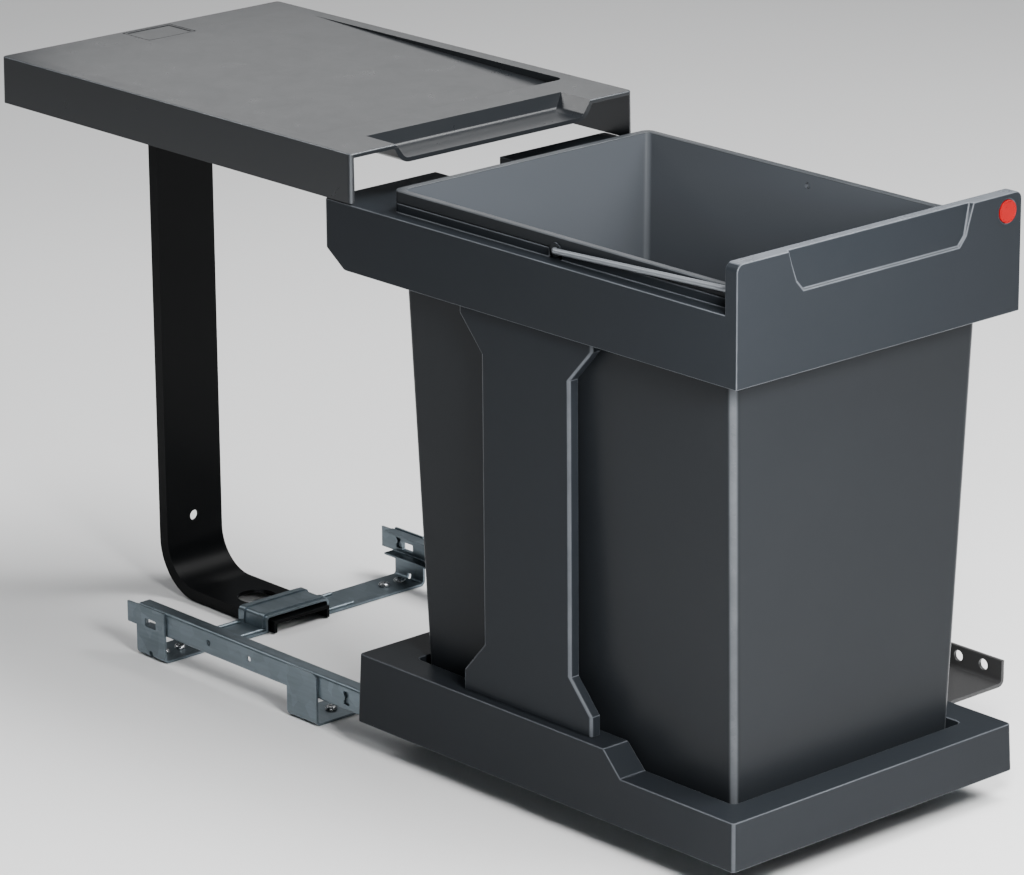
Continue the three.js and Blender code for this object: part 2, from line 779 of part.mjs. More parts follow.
function bin() {
  const lipBottom = binRimTop - binLipHeight;
  const floorTop = binBottom + binWall;
  const inner = binCorner - binWall;
  const skin = loft([
    binRing(binBottom, 0, binCorner),
    binRing(lipBottom, 0, binCorner),
    roundRect(binRimWidth / 2, binRimLength / 2, binCorner + binLipReach, lipBottom, binCentre),
    roundRect(binRimWidth / 2, binRimLength / 2, binCorner + binLipReach, binRimTop, binCentre),
    binRing(binRimTop, binWall, inner),
    binRing(floorTop, binWall, inner),
  ]);
  const wall = binHalf(binBaseWidth, binRimWidth, bailPivotTop);
  return [-1, 1].reduce((solid, side) => {
    const [a, b] = [side * (wall - 1), side * (wall + bossReach)];
    const [c, d] = [side * (wall - binWall - 1), side * (wall + bossReach + 1)];
    const boss = rod('x', bossRadius, Math.min(a, b), Math.max(a, b), binCentre, bailPivotTop);
    const hole = rod('x', wireRadius + fitGap, Math.min(c, d), Math.max(c, d), binCentre, bailPivotTop, 14);
    return solid.add(boss).subtract(hole);
  }, skin);
}

// The bail's centre line: in through one boss, forward along the rim, across the front and back
function bailHandle() {
  const wall = binHalf(binBaseWidth, binRimWidth, bailPivotTop);
  const x = wall + bossReach + fitGap + wireRadius;
  const pinEnd = wall - binWall + 0.5;
  const y = binCentre - binRimLength / 2 - fitGap - wireRadius - 0.1;
  const top = bailPivotTop + bailRise;
  const corner = bailTurnRadius;
  const path = new THREE.CurvePath();
  const v = (a, b, c) => new THREE.Vector3(a, b, c);
  const turn = (a, b, c) => path.add(new THREE.QuadraticBezierCurve3(a, b, c));
  const line = (a, b) => path.add(new THREE.LineCurve3(a, b));
  const slope = bailRise / (binCentre - y);
  const along = (at) => bailPivotTop + (binCentre - at) * slope;
  const start = 1.6 * wireRadius;
  const armIn = binCentre - start;
  const armOut = y + corner;
  line(v(-pinEnd, binCentre, bailPivotTop), v(-x + start, binCentre, bailPivotTop));
  turn(v(-x + start, binCentre, bailPivotTop), v(-x, binCentre, bailPivotTop), v(-x, armIn, along(armIn)));
  line(v(-x, armIn, along(armIn)), v(-x, armOut, along(armOut)));
  turn(v(-x, armOut, along(armOut)), v(-x, y, top), v(-x + corner, y, top));
  line(v(-x + corner, y, top), v(x - corner, y, top));
  turn(v(x - corner, y, top), v(x, y, top), v(x, armOut, along(armOut)));
  line(v(x, armOut, along(armOut)), v(x, armIn, along(armIn)));
  turn(v(x, armIn, along(armIn)), v(x, binCentre, bailPivotTop), v(x - start, binCentre, bailPivotTop));
  line(v(x - start, binCentre, bailPivotTop), v(pinEnd, binCentre, bailPivotTop));
  return sweptWire(path);
}

// A round wire along straight and curved stretches, with rings where the line bends
function sweptWire(path) {
  const stations = [];
  path.curves.forEach((curve, i) => {
    const steps = curve.type === 'LineCurve3' ? 1 : 5;
    for (let s = i === 0 ? 0 : 1; s <= steps; s += 1) {
      stations.push({ point: curve.getPoint(s / steps), tangent: curve.getTangent(s / steps) });
    }
  });
  const up = new THREE.Vector3(0, 0, 1);
  return loft(stations.map(({ point, tangent }) => {
    const side = new THREE.Vector3().crossVectors(up, tangent).normalize();
    const lift = new THREE.Vector3().crossVectors(tangent, side).normalize();
    return Array.from({ length: 10 }, (_, k) => {
      const angle = (k / 10) * Math.PI * 2;
      return point.clone()
        .addScaledVector(side, wireRadius * Math.cos(angle))
        .addScaledVector(lift, wireRadius * Math.sin(angle));
    });
  }));
}

// Door bracket ---------------------------------------------------------------------------------

function doorBracket() {
  const halfLength = bracketLength / 2;
  const edge = trayWidth / 2 - trayWall - 1 - pinX;
  const round = Array.from({ length: 9 }, (_, i) => {
    const angle = Math.PI / 2 + (i / 8) * Math.PI;
    return [pinX + bracketEndRadius * Math.cos(angle), pinY + bracketEndRadius * Math.sin(angle)];
  });
  const outline = [
    ...round, [pinX + edge, pinY - halfLength], [bracketReach, pinY - halfLength],
    [bracketReach, pinY + halfLength], [pinX + edge, pinY + halfLength],
  ];
  const z0 = bracketUnderside;
  const plate = prismZ(outline, z0, z0 + bracketSheet);
  const flange = box(
    bracketReach - bracketSheet,
    bracketReach,
    pinY - halfLength,
    pinY + halfLength,
    z0 + bracketSheet / 2,
    z0 + bracketHeight,
  );
  const firstHole = pinY - halfLength + bracketHoleFront;
  const inside = bracketReach - bracketSheet;
  const holes = [firstHole, firstHole + bracketHoleSpacing].map((y) => (
    rod('x', bracketHoleRadius, inside - 1, bracketReach + 1, y, z0 + bracketHoleHeight)
  ));
  const pivot = rod('z', pinRadius + fitGap, z0 - 1, z0 + bracketSheet + 1, pinX, pinY, 18);
  return cutAll(plate.add(flange), [...holes, pivot]);
}

function doorPin() {
  const seat = bracketUnderside - fitGap;
  const head = rod('z', pinHeadRadius, seat - pinHeadHeight, seat, pinX, pinY);
  return head.add(rod('z', pinRadius, seat - 0.1, lowDeckTop - trayWall - fitGap, pinX, pinY, 18));
}

// Scene ----------------------------------------------------------------------------------------

function finish(color, roughness, metalness) {
  return new THREE.MeshStandardMaterial({ color, roughness, metalness });
}

const anthracite = finish(0x35373b, 0.55, 0);
const lidPlastic = finish(0x26272a, 0.42, 0);
const zincSteel = finish(0x66727b, 0.42, 0.9);
const blackSteel = finish(0x15171a, 0.4, 0.3);
const brightSteel = finish(0xa9acaf, 0.3, 0.9);
const wireCoat = finish(0x8d9094, 0.45, 0.2);
const redGloss = finish(0xb3101a, 0.3, 0);

const model = new THREE.Group();

function addPiece(name, solid, material) {
  const mesh = new THREE.Mesh(toGeometry(solid), material);
  mesh.name = name;
  model.add(mesh);
}

function addPair(name, leftSolid, material) {
  addPiece(`left_${name}`, leftSolid, material);
  addPiece(`right_${name}`, mirrorX(leftSolid), material);
}

addPiece('front_cross_member', frontCrossMember(), zincSteel);
addPiece('rear_cross_member', rearCrossMember(), zincSteel);
addPair('outer_rail', leftOuterRail(), zincSteel);
addPair('middle_rail', leftMiddleRail(), zincSteel);
addPair('inner_rail', leftInnerRail(), zincSteel);
[...floorScrews(0), ...floorScrews(memberSpacing)].forEach(([x, y], i) => {
  addPiece(`floor_screw_${i + 1}`, screw('z', sheet + fitGap, fitGap, x, y), brightSteel);
});
railScrewPlaces().forEach((y, i) => {
  addPair(`rail_screw_${i + 1}`, leftRailScrew(y), brightSteel);
});
footScrewPlaces().forEach(([, y], i) => {
  addPair(`foot_screw_${i + 1}`, leftFootScrew(y), brightSteel);
});

addPiece('lid_arm', lidArm(), blackSteel);
addPiece('lid', lid(), lidPlastic);
addPiece('lid_latch', lidLatch(), lidPlastic);

addPiece('tray', tray(), anthracite);
addPair('upright', leftUpright(), anthracite);
addPiece('top_frame', topFrame(), anthracite);
addPiece('badge', badge(), redGloss);
addPiece('door_bracket', doorBracket(), blackSteel);
addPiece('door_pin', doorPin(), brightSteel);

addPiece('bin', bin(), anthracite);
addPiece('bail_handle', bailHandle(), wireCoat);

export default model;
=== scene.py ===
import bpy
import bmesh
import json
import math
from mathutils import Matrix, Quaternion, Vector
from types import SimpleNamespace


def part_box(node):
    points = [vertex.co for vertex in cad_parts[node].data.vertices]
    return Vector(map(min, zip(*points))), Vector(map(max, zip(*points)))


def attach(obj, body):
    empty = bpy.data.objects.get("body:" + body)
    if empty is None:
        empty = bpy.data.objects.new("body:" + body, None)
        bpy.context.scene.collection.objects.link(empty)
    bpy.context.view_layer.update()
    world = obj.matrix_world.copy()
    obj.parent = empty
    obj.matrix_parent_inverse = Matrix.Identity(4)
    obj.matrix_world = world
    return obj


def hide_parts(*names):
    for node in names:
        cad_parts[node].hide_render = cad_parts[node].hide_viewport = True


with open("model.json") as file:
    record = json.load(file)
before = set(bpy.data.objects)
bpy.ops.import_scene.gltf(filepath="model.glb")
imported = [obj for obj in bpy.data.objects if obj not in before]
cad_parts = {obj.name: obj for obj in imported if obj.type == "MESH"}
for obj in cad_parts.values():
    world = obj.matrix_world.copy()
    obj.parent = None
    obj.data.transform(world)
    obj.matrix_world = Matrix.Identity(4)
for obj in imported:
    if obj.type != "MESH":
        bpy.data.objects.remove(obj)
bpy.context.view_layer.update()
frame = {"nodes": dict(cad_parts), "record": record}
print("frame loaded")


# ways of working that every piece uses

mergeReach = 0.000003  # vertices closer than this become one
hair = 0.00001  # what lies this near to a level counts as on it
past = 0.01  # how far a cutter goes beyond what it cuts
flatAngle = 38  # faces that meet at less than this are shaded as one


def named(sizes):  # lets a function write s.wall for the wall in a piece's sizes
    return SimpleNamespace(**sizes)


def deselectAll():
    if bpy.context.object and bpy.context.object.mode != "OBJECT":
        bpy.ops.object.mode_set(mode="OBJECT")
    bpy.ops.object.select_all(action="DESELECT")


def makeActive(obj):
    deselectAll()
    bpy.context.view_layer.objects.active = obj
    obj.select_set(True)


def settle(obj, name):
    obj.name = name
    bpy.ops.object.transform_apply(location=True, rotation=True, scale=True)
    return obj


def copyOf(obj):
    makeActive(obj)
    bpy.ops.object.duplicate()
    return bpy.context.object


def addBlock(name, low, high):
    deselectAll()
    low, high = Vector(low), Vector(high)
    bpy.ops.mesh.primitive_cube_add(size=1, location=(low + high) / 2, scale=high - low)
    return settle(bpy.context.object, name)


def addRod(name, centre, radius, length, axis="Z", sides=32):
    deselectAll()
    turn = {"X": (0, math.pi / 2, 0), "Y": (math.pi / 2, 0, 0), "Z": (0, 0, 0)}[axis]
    bpy.ops.mesh.primitive_cylinder_add(
        vertices=sides, radius=radius, depth=length, location=centre, rotation=turn)
    return settle(bpy.context.object, name)


def enterEdit(obj, kind):  # edit mode with nothing selected
    makeActive(obj)
    bpy.ops.object.mode_set(mode="EDIT")
    bpy.ops.mesh.select_mode(type=kind)
    bpy.ops.mesh.select_all(action="DESELECT")
    return bmesh.from_edit_mesh(obj.data)


def pickFaces(obj, test):
    mesh = enterEdit(obj, "FACE")
    for face in mesh.faces:
        face.select_set(bool(test(face.calc_center_median(), face.normal)))
    bmesh.update_edit_mesh(obj.data)


def facing(axis, sign=1):  # a test for faces that look along an axis
    return lambda at, normal: getattr(normal, axis) * sign > 0.9


def pickEdges(obj, test):
    mesh = enterEdit(obj, "EDGE")
    for edge in mesh.edges:
        a, b = edge.verts[0].co, edge.verts[1].co
        edge.select_set(bool(test((a + b) / 2, (b - a).normalized())))
    bmesh.update_edit_mesh(obj.data)


def pickAlong(obj, axis, test=lambda at: True):  # edges along one axis that also pass the test
    pickEdges(obj, lambda at, way: abs(getattr(way, axis)) > 0.9 and test(at))


def pickLevel(obj, test):  # the same for level edges
    pickEdges(obj, lambda at, way: abs(way.z) < 0.1 and test(at))


def pickAll():
    bpy.ops.object.mode_set(mode="EDIT")
    bpy.ops.mesh.select_all(action="SELECT")


def leaveEdit():
    bpy.ops.object.mode_set(mode="OBJECT")


def bevelPicked(width, steps, worn=False):  # a bevel so marked is noted as an edge by soften(), for the edge wear and painted highlight on it
    bpy.ops.mesh.bevel(offset=width, segments=steps, affect="EDGES", material=1 if worn else -1)
    leaveEdit()


def pushPicked(way):
    bpy.ops.mesh.extrude_region_move(TRANSFORM_OT_translate={"value": way})


def shiftPicked(way):
    bpy.ops.transform.translate(value=way)
    leaveEdit()


def stretchPicked(x, y, z=1):
    bpy.ops.transform.resize(value=(x, y, z))


def spinPicked(steps, centre, axis):  # a quarter turn
    bpy.ops.mesh.spin(steps=steps, angle=math.pi / 2, center=centre, axis=axis)


def roundBlock(name, low, high, radius, steps=6, axis="z"):  # a block with its four long edges rounded
    block = addBlock(name, low, high)
    pickAlong(block, axis)
    bevelPicked(radius, steps)
    return block


def around(middle, halfX, halfY, low, high):  # the two corners of a block that is centred on a place
    return (-halfX, middle - halfY, low), (halfX, middle + halfY, high)


def scaleTop(obj, x, y):  # tapers a block by scaling its top face
    top = max(v.co.z for v in obj.data.vertices)
    pickFaces(obj, lambda at, normal: normal.z > 0.9 and at.z > top - hair)
    stretchPicked(x, y)
    leaveEdit()
    return obj


def applyModifier(obj, kind, **settings):
    makeActive(obj)
    bpy.ops.object.modifier_add(type=kind)
    tool = obj.modifiers[-1]
    for key, value in settings.items():
        setattr(tool, key, value)
    bpy.ops.object.modifier_apply(modifier=tool.name)


def combine(obj, other, operation):
    applyModifier(obj, "BOOLEAN", operation=operation, solver="EXACT", object=other)
    bpy.data.objects.remove(other, do_unlink=True)
    pickAll()
    bpy.ops.mesh.remove_doubles(threshold=mergeReach)
    bpy.ops.mesh.dissolve_degenerate(threshold=mergeReach)
    leaveEdit()
    return obj


def cut(obj, *cutters):
    for cutter in cutters:
        combine(obj, cutter, "DIFFERENCE")
    return obj


def weld(obj, *others):
    for other in others:
        combine(obj, other, "UNION")
    return obj


def soften(obj, width, steps=2, angle=32, clamp=True):  # rounds what is still sharp and notes the new edges
    addEdgeSlots(obj)
    applyModifier(obj, "BEVEL", width=width, segments=steps, limit_method="ANGLE",
            angle_limit=math.radians(angle), use_clamp_overlap=clamp, material=1)
    noteEdges(obj.data)
    shadeFlatAreas(obj)
    return obj


def shadeFlatAreas(obj):  # large flat faces stay flat, only the rounded edges turn
    makeActive(obj)
    bpy.ops.mesh.customdata_custom_splitnormals_clear()
    bpy.ops.object.shade_smooth_by_angle(angle=math.radians(flatAngle))
    applyModifier(obj, "WEIGHTED_NORMAL", keep_sharp=True)


def addEdgeSlots(obj):  # two empty slots: the second marks the faces of rounded edges
    while len(obj.data.materials) < 2:
        obj.data.materials.append(None)


def noteEdges(mesh):  # the attribute "edge" is 1 along each rounded edge and on upright rounded corners, for the wear and the painted highlight line on it
    cornerTilt = 0.54
    rounded, flat, corner = set(), set(), {}
    for face in mesh.polygons:
        (rounded if face.material_index == 1 else flat).update(face.vertices)
        # upright rounded corners are flagged too, so they get the painted highlight line
        if min(abs(face.normal.x), abs(face.normal.y)) > cornerTilt:
            for vertex in face.vertices:
                corner[vertex] = corner.get(vertex, 0) + 1
        face.material_index = 0
    edge = mesh.attributes.get("edge") or mesh.attributes.new("edge", "FLOAT", "POINT")
    for vertex in mesh.vertices:
        onRound = vertex.index in rounded and vertex.index not in flat
        edge.data[vertex.index].value = float(onRound or corner.get(vertex.index, 0) > 1)


def paintTopHighlight(obj, amount):  # painted highlight: the topmost faces get the edge mark too, so they show a paler line of light along the top
    topHighlightDepth = 0.0003
    top = max(v.co.z for v in obj.data.vertices)
    edge = obj.data.attributes["edge"]
    for vertex in obj.data.vertices:
        if vertex.co.z > top - topHighlightDepth:
            edge.data[vertex.index].value = amount


def mirrored(obj, name):  # a copy on the other side, with its own mesh
    copy = copyOf(obj)
    copy.data.transform(Matrix.Scale(-1, 4, (1, 0, 0)))
    pickAll()
    bpy.ops.mesh.flip_normals()
    leaveEdit()
    copy.name = name
    shadeFlatAreas(copy)
    return copy


def finishPiece(obj, body, nodes, material):
    obj.data.materials.clear()
    obj.data.materials.append(material)
    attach(obj, body)
    if nodes:
        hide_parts(*nodes)
    return obj


# shader groups shared by the materials

def newGroup(name, outputs, **inputs):  # an input with no value is a place, one with four numbers a colour
    group = bpy.data.node_groups.new(name, "ShaderNodeTree")
    for label, value in inputs.items():
        kind = "Vector" if value is None else "Float" if isinstance(value, float) else "Color"
        socket = group.interface.new_socket(name=label, in_out="INPUT", socket_type="NodeSocket" + kind)
        if value is not None:
            socket.default_value = value
    for label in outputs:
        kind = "Color" if label == "Colour" else "Float"
        group.interface.new_socket(name=label, in_out="OUTPUT", socket_type="NodeSocket" + kind)
    return group, group.nodes.new("NodeGroupInput").outputs, group.nodes.new("NodeGroupOutput").inputs


def feed(tree, socket, value):  # links another node's output, or sets a value
    if isinstance(value, bpy.types.NodeSocket):
        tree.links.new(value, socket)
    else:
        socket.default_value = value


def addNode(tree, kind, settings=None, **inputs):
    node = tree.nodes.new("ShaderNode" + kind)
    for key, value in (settings or {}).items():
        setattr(node, key, value)
    for key, value in inputs.items():
        feed(tree, node.inputs[key], value)
    return node


def addNoise(tree, place, scale, detail, **inputs):
    return addNode(tree, "TexNoise", Vector=place, Scale=scale, Detail=detail, **inputs).outputs[0]


def mathNode(tree, operation, a, b=0.0, c=0.0):
    node = addNode(tree, "Math", {"operation": operation})
    for socket, value in zip(node.inputs, (a, b, c)):
        feed(tree, socket, value)
    return node.outputs[0]


def multiply(tree, a, b):
    return mathNode(tree, "MULTIPLY", a, b)


def mixColours(tree, share, a, b):
    node = addNode(tree, "Mix", {"data_type": "RGBA"})
    for socket, value in ((0, share), (6, a), (7, b)):
        feed(tree, node.inputs[socket], value)
    return node.outputs[2]


def makeGrain():  # a fine spark-eroded mould texture: height and a speckle mask
    pebbleShare = 0.22
    group, given, out = newGroup("mouldGrain", ("Height", "Speckle"), Vector=None, Size=900.0, Coarse=0.3)
    fine = addNoise(group, given["Vector"], given["Size"], 3.0, Roughness=0.6)
    wide = multiply(group, given["Size"], pebbleShare)
    pebble = addNode(group, "TexVoronoi", {"feature": "SMOOTH_F1"}, Vector=given["Vector"], Scale=wide,
            Smoothness=0.6)
    coarse = multiply(group, pebble.outputs["Distance"], given["Coarse"])
    feed(group, out["Height"], mathNode(group, "ADD", fine, coarse))
    feed(group, out["Speckle"], fine)
    return group


def makeHandling():  # broad, faint variation from handling and dust: colour and roughness
    noiseMiddle = 0.5
    group, given, out = newGroup(
        "handling", ("Colour", "Roughness"), Vector=None, Colour=(0.1, 0.1, 0.1, 1), Dust=(0.3, 0.3, 0.3, 1),
        Amount=0.05, Roughness=0.4, Spread=0.08)
    clouds = addNoise(group, given["Vector"], 9.0, 5.0, Roughness=0.55)
    smears = addNoise(group, given["Vector"], 42.0, 4.0, Roughness=0.7, Distortion=0.6)
    share = multiply(group, multiply(group, clouds, smears), given["Amount"])
    feed(group, out["Colour"], mixColours(group, share, given["Colour"], given["Dust"]))
    centred = mathNode(group, "SUBTRACT", smears, noiseMiddle)
    feed(group, out["Roughness"],
            mathNode(group, "MULTIPLY_ADD", centred, given["Spread"], given["Roughness"]))
    return group


def makeEdgeWearAndHighlight():  # rounded edges made paler and smoother, in broken lines: edge wear and a painted edge highlight
    breakupSwing, breakupLeast = 1.1, 0.25
    group, given, out = newGroup(
        "edgeWearAndHighlight", ("Colour", "Roughness"), Vector=None, Edge=0.0, Amount=0.8, Colour=(0.1, 0.1, 0.1, 1),
        Worn=(0.3, 0.3, 0.3, 1), Roughness=0.4, Polish=0.1)
    rub = addNoise(group, given["Vector"], 28.0, 5.0, Roughness=0.6)
    patchy = mathNode(group, "MULTIPLY_ADD", rub, breakupSwing, breakupLeast)
    strong = multiply(group, multiply(group, given["Edge"], patchy), given["Amount"])
    share = mathNode(group, "MINIMUM", strong, 1.0)
    feed(group, out["Colour"], mixColours(group, share, given["Colour"], given["Worn"]))
    polish = multiply(group, share, given["Polish"])
    feed(group, out["Roughness"], mathNode(group, "SUBTRACT", given["Roughness"], polish))
    return group


grainGroup = makeGrain()
handlingGroup = makeHandling()
edgeWearAndHighlightGroup = makeEdgeWearAndHighlight()


def startMaterial(name):
    material = bpy.data.materials.new(name)
    material.use_nodes = True
    tree = material.node_tree
    return material, tree, addNode(tree, "TexCoord").outputs["Object"]


def fillShader(tree, surface, bump, rest):
    inputs = {"Base Color": surface["Colour"], "Roughness": surface["Roughness"], **rest}
    if bump:
        inputs["Normal"] = bump
    for label, value in inputs.items():
        feed(tree, tree.nodes["Principled BSDF"].inputs[label], value)


def placeGroup(tree, group, place, **inputs):
    return addNode(tree, "Group", {"node_tree": group}, Vector=place, **inputs).outputs


def addWearAndHighlight(tree, place, handling, worn, **inputs):  # edge wear and painted edge highlight over the handled surface
    edge = addNode(tree, "Attribute", {"attribute_name": "edge"}).outputs["Fac"]
    look = {"Colour": handling["Colour"], "Worn": (*worn, 1), "Roughness": handling["Roughness"], **inputs}
    return placeGroup(tree, edgeWearAndHighlightGroup, place, Edge=edge, **look)


def bumpFrom(tree, height, strength, distance):
    return addNode(tree, "Bump", Height=height, Strength=strength, Distance=distance).outputs[0]


plasticCommon = {"roughness": 0.36, "sheen": 0.09, "grain": 1700.0, "depth": 0.00006, "strength": 0.20,
    "dust": 0.05, "paler": 1.22, "index": 1.49}
# each paler edge colour is edge wear together with a painted edge highlight
plasticLooks = {
    "anthracitePlastic": {"colour": (0.0130, 0.0156, 0.0190), "worn": (0.120, 0.130, 0.145),
        "grain": 1500.0, "depth": 0.00007, "strength": 0.28},
    # painted shade: the tray is a darker copy of the frame's plastic, standing in for the lower light it gets
    "trayPlastic": {"colour": (0.0125, 0.0148, 0.0178), "worn": (0.095, 0.103, 0.115),
        "grain": 1500.0, "depth": 0.00007, "strength": 0.28},
    # painted shade: the bucket is a darker copy of the frame's plastic, standing in for the shade under the
    # fascia
    "bucketPlastic": {"colour": (0.0122, 0.0141, 0.0165), "worn": (0.120, 0.129, 0.140),
        "roughness": 0.34, "sheen": 0.11},
    # painted light: the bucket's inside is a paler copy of the bucket plastic
    "bucketInsideLit": {"colour": (0.064, 0.071, 0.081), "worn": (0.105, 0.114, 0.125),
        "roughness": 0.42, "sheen": 0.30, "dust": 0.10},
    "lidPlastic": {"colour": (0.0120, 0.0138, 0.0160), "worn": (0.130, 0.140, 0.152),
        "roughness": 0.29, "sheen": 0.40, "grain": 1900.0, "strength": 0.18, "dust": 0.03},
}


def makePlastic(name):
    look = {**plasticCommon, **plasticLooks[name]}
    material, tree, place = startMaterial(name)
    grain = placeGroup(tree, grainGroup, place, Size=look["grain"], Coarse=0.35)
    handling = placeGroup(tree, handlingGroup, place, Colour=(*look["colour"], 1), Dust=(0.12, 0.12, 0.12, 1),
            Amount=look["dust"], Roughness=look["roughness"], Spread=0.10)
    speckle = multiply(tree, grain["Speckle"], addNoise(tree, place, 3.2, 2.0))
    paler = tuple(c * look["paler"] for c in look["colour"])
    colour = mixColours(tree, speckle, handling["Colour"], (*paler, 1))
    # edge wear and a painted highlight line along the rounded edges
    wearAndHighlight = addWearAndHighlight(tree, place, handling, look["worn"], Colour=colour, Polish=0.10)
    bump = bumpFrom(tree, grain["Height"], look["strength"], look["depth"])
    fillShader(tree, wearAndHighlight, bump, {"IOR": look["index"], "Specular IOR Level": look["sheen"]})
    return material


# the paler edge colour is edge wear together with a painted edge highlight
steelLook = {"dark": (0.085, 0.111, 0.127), "bright": (0.213, 0.260, 0.294), "worn": (0.52, 0.57, 0.60),
    "dust": (0.33, 0.34, 0.33), "spangle": 95.0, "spangleShare": 0.28, "streakShare": 0.75,
    "rolling": (40, 2.5, 40), "roughness": 0.38, "strength": 0.12, "depth": 0.00006, "metal": 0.88}


def makeGalvanised():
    look = steelLook
    material, tree, place = startMaterial("galvanisedSteel")
    crystals = addNode(tree, "TexVoronoi", {"feature": "F1"}, Vector=place, Scale=look["spangle"])
    tone = addNode(tree, "SeparateColor", Color=crystals.outputs["Color"]).outputs[0]
    rolled = addNode(tree, "Mapping", Vector=place, Scale=look["rolling"]).outputs[0]
    streaks = multiply(tree, addNoise(tree, rolled, 6.0, 6.0, Roughness=0.65), look["streakShare"])
    share = mathNode(tree, "MULTIPLY_ADD", tone, look["spangleShare"], streaks)
    base = mixColours(tree, share, (*look["dark"], 1), (*look["bright"], 1))
    handling = placeGroup(tree, handlingGroup, place, Colour=base, Dust=(*look["dust"], 1), Amount=0.16,
            Roughness=look["roughness"], Spread=0.22)
    # edge wear and a painted highlight line along the steel's rounded edges
    wearAndHighlight = addWearAndHighlight(tree, place, handling, look["worn"], Amount=0.6, Polish=0.08)
    bump = bumpFrom(tree, addNoise(tree, rolled, 30.0, 3.0), look["strength"], look["depth"])
    fillShader(tree, wearAndHighlight, bump, {"Metallic": look["metal"]})
    return material


# each paler edge colour is edge wear together with a painted edge highlight
blackLooks = {
    "blackPowderCoat": {"colour": (0.0022, 0.0026, 0.0030), "worn": (0.030, 0.032, 0.035), "sheen": 0.06},
    "bracketCoat": {"colour": (0.0330, 0.0330, 0.0335), "worn": (0.090, 0.090, 0.092), "sheen": 0.40},
}
blackPeel = {"scale": 420.0, "strength": 0.22, "depth": 0.00012}


def makeBlackSteel(name):
    look = blackLooks[name]
    material, tree, place = startMaterial(name)
    peel = addNoise(tree, place, blackPeel["scale"], 2.0, Roughness=0.45)
    handling = placeGroup(tree, handlingGroup, place, Colour=(*look["colour"], 1),
            Dust=(0.05, 0.05, 0.05, 1), Amount=0.06, Roughness=0.34, Spread=0.12)
    # edge wear and a painted highlight line along the coat's rounded edges
    wearAndHighlight = addWearAndHighlight(tree, place, handling, look["worn"], Polish=0.06)
    bump = bumpFrom(tree, peel, blackPeel["strength"], blackPeel["depth"])
    fillShader(tree, wearAndHighlight, bump, {"Specular IOR Level": look["sheen"]})
    return material


wireLook = {"colour": (0.20, 0.215, 0.235, 1), "dust": (0.4, 0.4, 0.4, 1), "drawing": 700.0, "strength": 0.15,
    "depth": 0.00005, "metal": 0.45}


def makeWireCoat():
    look = wireLook
    material, tree, place = startMaterial("greyWireCoat")
    handling = placeGroup(tree, handlingGroup, place, Colour=look["colour"],
            Dust=look["dust"], Amount=0.12, Roughness=0.34, Spread=0.15)
    drawn = bumpFrom(tree, addNoise(tree, place, look["drawing"], 2.0), look["strength"], look["depth"])
    fillShader(tree, handling, drawn, {"Metallic": look["metal"]})
    return material


cloudyLooks = {  # two colours that drift into each other, and the roughness that drifts with them
    "screwZinc": {"scale": 260.0, "detail": 4.0, "from": (0.42, 0.44, 0.46, 1), "to": (0.68, 0.69, 0.70, 1),
        "roughness": 0.16, "spread": 0.2, "strength": 0.1, "depth": 0.00004, "rest": {"Metallic": 1.0}},
    "badgeRed": {"scale": 180.0, "detail": 3.0, "from": (0.25, 0.0004, 0.0016, 1),
        "to": (0.31, 0.0008, 0.003, 1), "roughness": 0.24, "spread": 0.12, "depth": 0,
        "rest": {"Specular IOR Level": 0.16}},
}


def makeCloudy(name):
    look = cloudyLooks[name]
    material, tree, place = startMaterial(name)
    fog = addNoise(tree, place, look["scale"], look["detail"])
    surface = {"Colour": mixColours(tree, fog, look["from"], look["to"]),
            "Roughness": mathNode(tree, "MULTIPLY_ADD", fog, look["spread"], look["roughness"])}
    bump = bumpFrom(tree, fog, look["strength"], look["depth"]) if look["depth"] else None
    fillShader(tree, surface, bump, look["rest"])
    return material


anthracite = makePlastic("anthracitePlastic")
trayPlastic = makePlastic("trayPlastic")
bucketPlastic = makePlastic("bucketPlastic")
bucketInsideLit = makePlastic("bucketInsideLit")
lidPlastic = makePlastic("lidPlastic")
galvanised = makeGalvanised()
blackSteel = makeBlackSteel("blackPowderCoat")
bracketCoat = makeBlackSteel("bracketCoat")
screwZinc = makeCloudy("screwZinc")
wireCoat = makeWireCoat()
badgeRed = makeCloudy("badgeRed")
print("materials made")


# bucket

bucketSizes = {
    "rim": (0.2320, 0.3190), "base": (0.1978, 0.2936), "corner": 0.0060, "lip": 0.003, "lipHeight": 0.0076,
    "wall": 0.0025, "footEdge": 0.004, "rimEdge": 0.0009, "innerCorner": 0.0045, "innerFoot": 0.003,
    "boss": 0.0048, "bossReach": 0.0044, "bossRoot": 0.001, "pivotDrop": 0.0087, "wire": 0.0023,
    "overRim": 0.002, "paleDrop": 0.002, "edges": 0.0009, "rub": 0.5,
}


def bucketHalf(axis, height, low, top):  # half the body's width at a height
    s = named(bucketSizes)
    share = (height - low) / (top - low)
    return s.base[axis] / 2 + (s.rim[axis] / 2 - s.lip - s.base[axis] / 2) * share


def bucketHollow(low, high, middle):
    s = named(bucketSizes)
    floor, over = low.z + s.wall, high.z + s.overRim
    fx, fy = s.base[0] / 2 - s.wall, s.base[1] / 2 - s.wall
    rimInset = s.lip + s.wall
    stretch = (over - floor) / (high.z - floor)
    ox = fx + (s.rim[0] / 2 - rimInset - fx) * stretch
    oy = fy + (s.rim[1] / 2 - rimInset - fy) * stretch
    hollow = roundBlock("hollow", *around(middle, fx, fy, floor, over), s.innerCorner)
    scaleTop(hollow, ox / fx, oy / fy)
    pickLevel(hollow, lambda at: at.z < floor + hair)
    bevelPicked(s.innerFoot, 4)
    return hollow


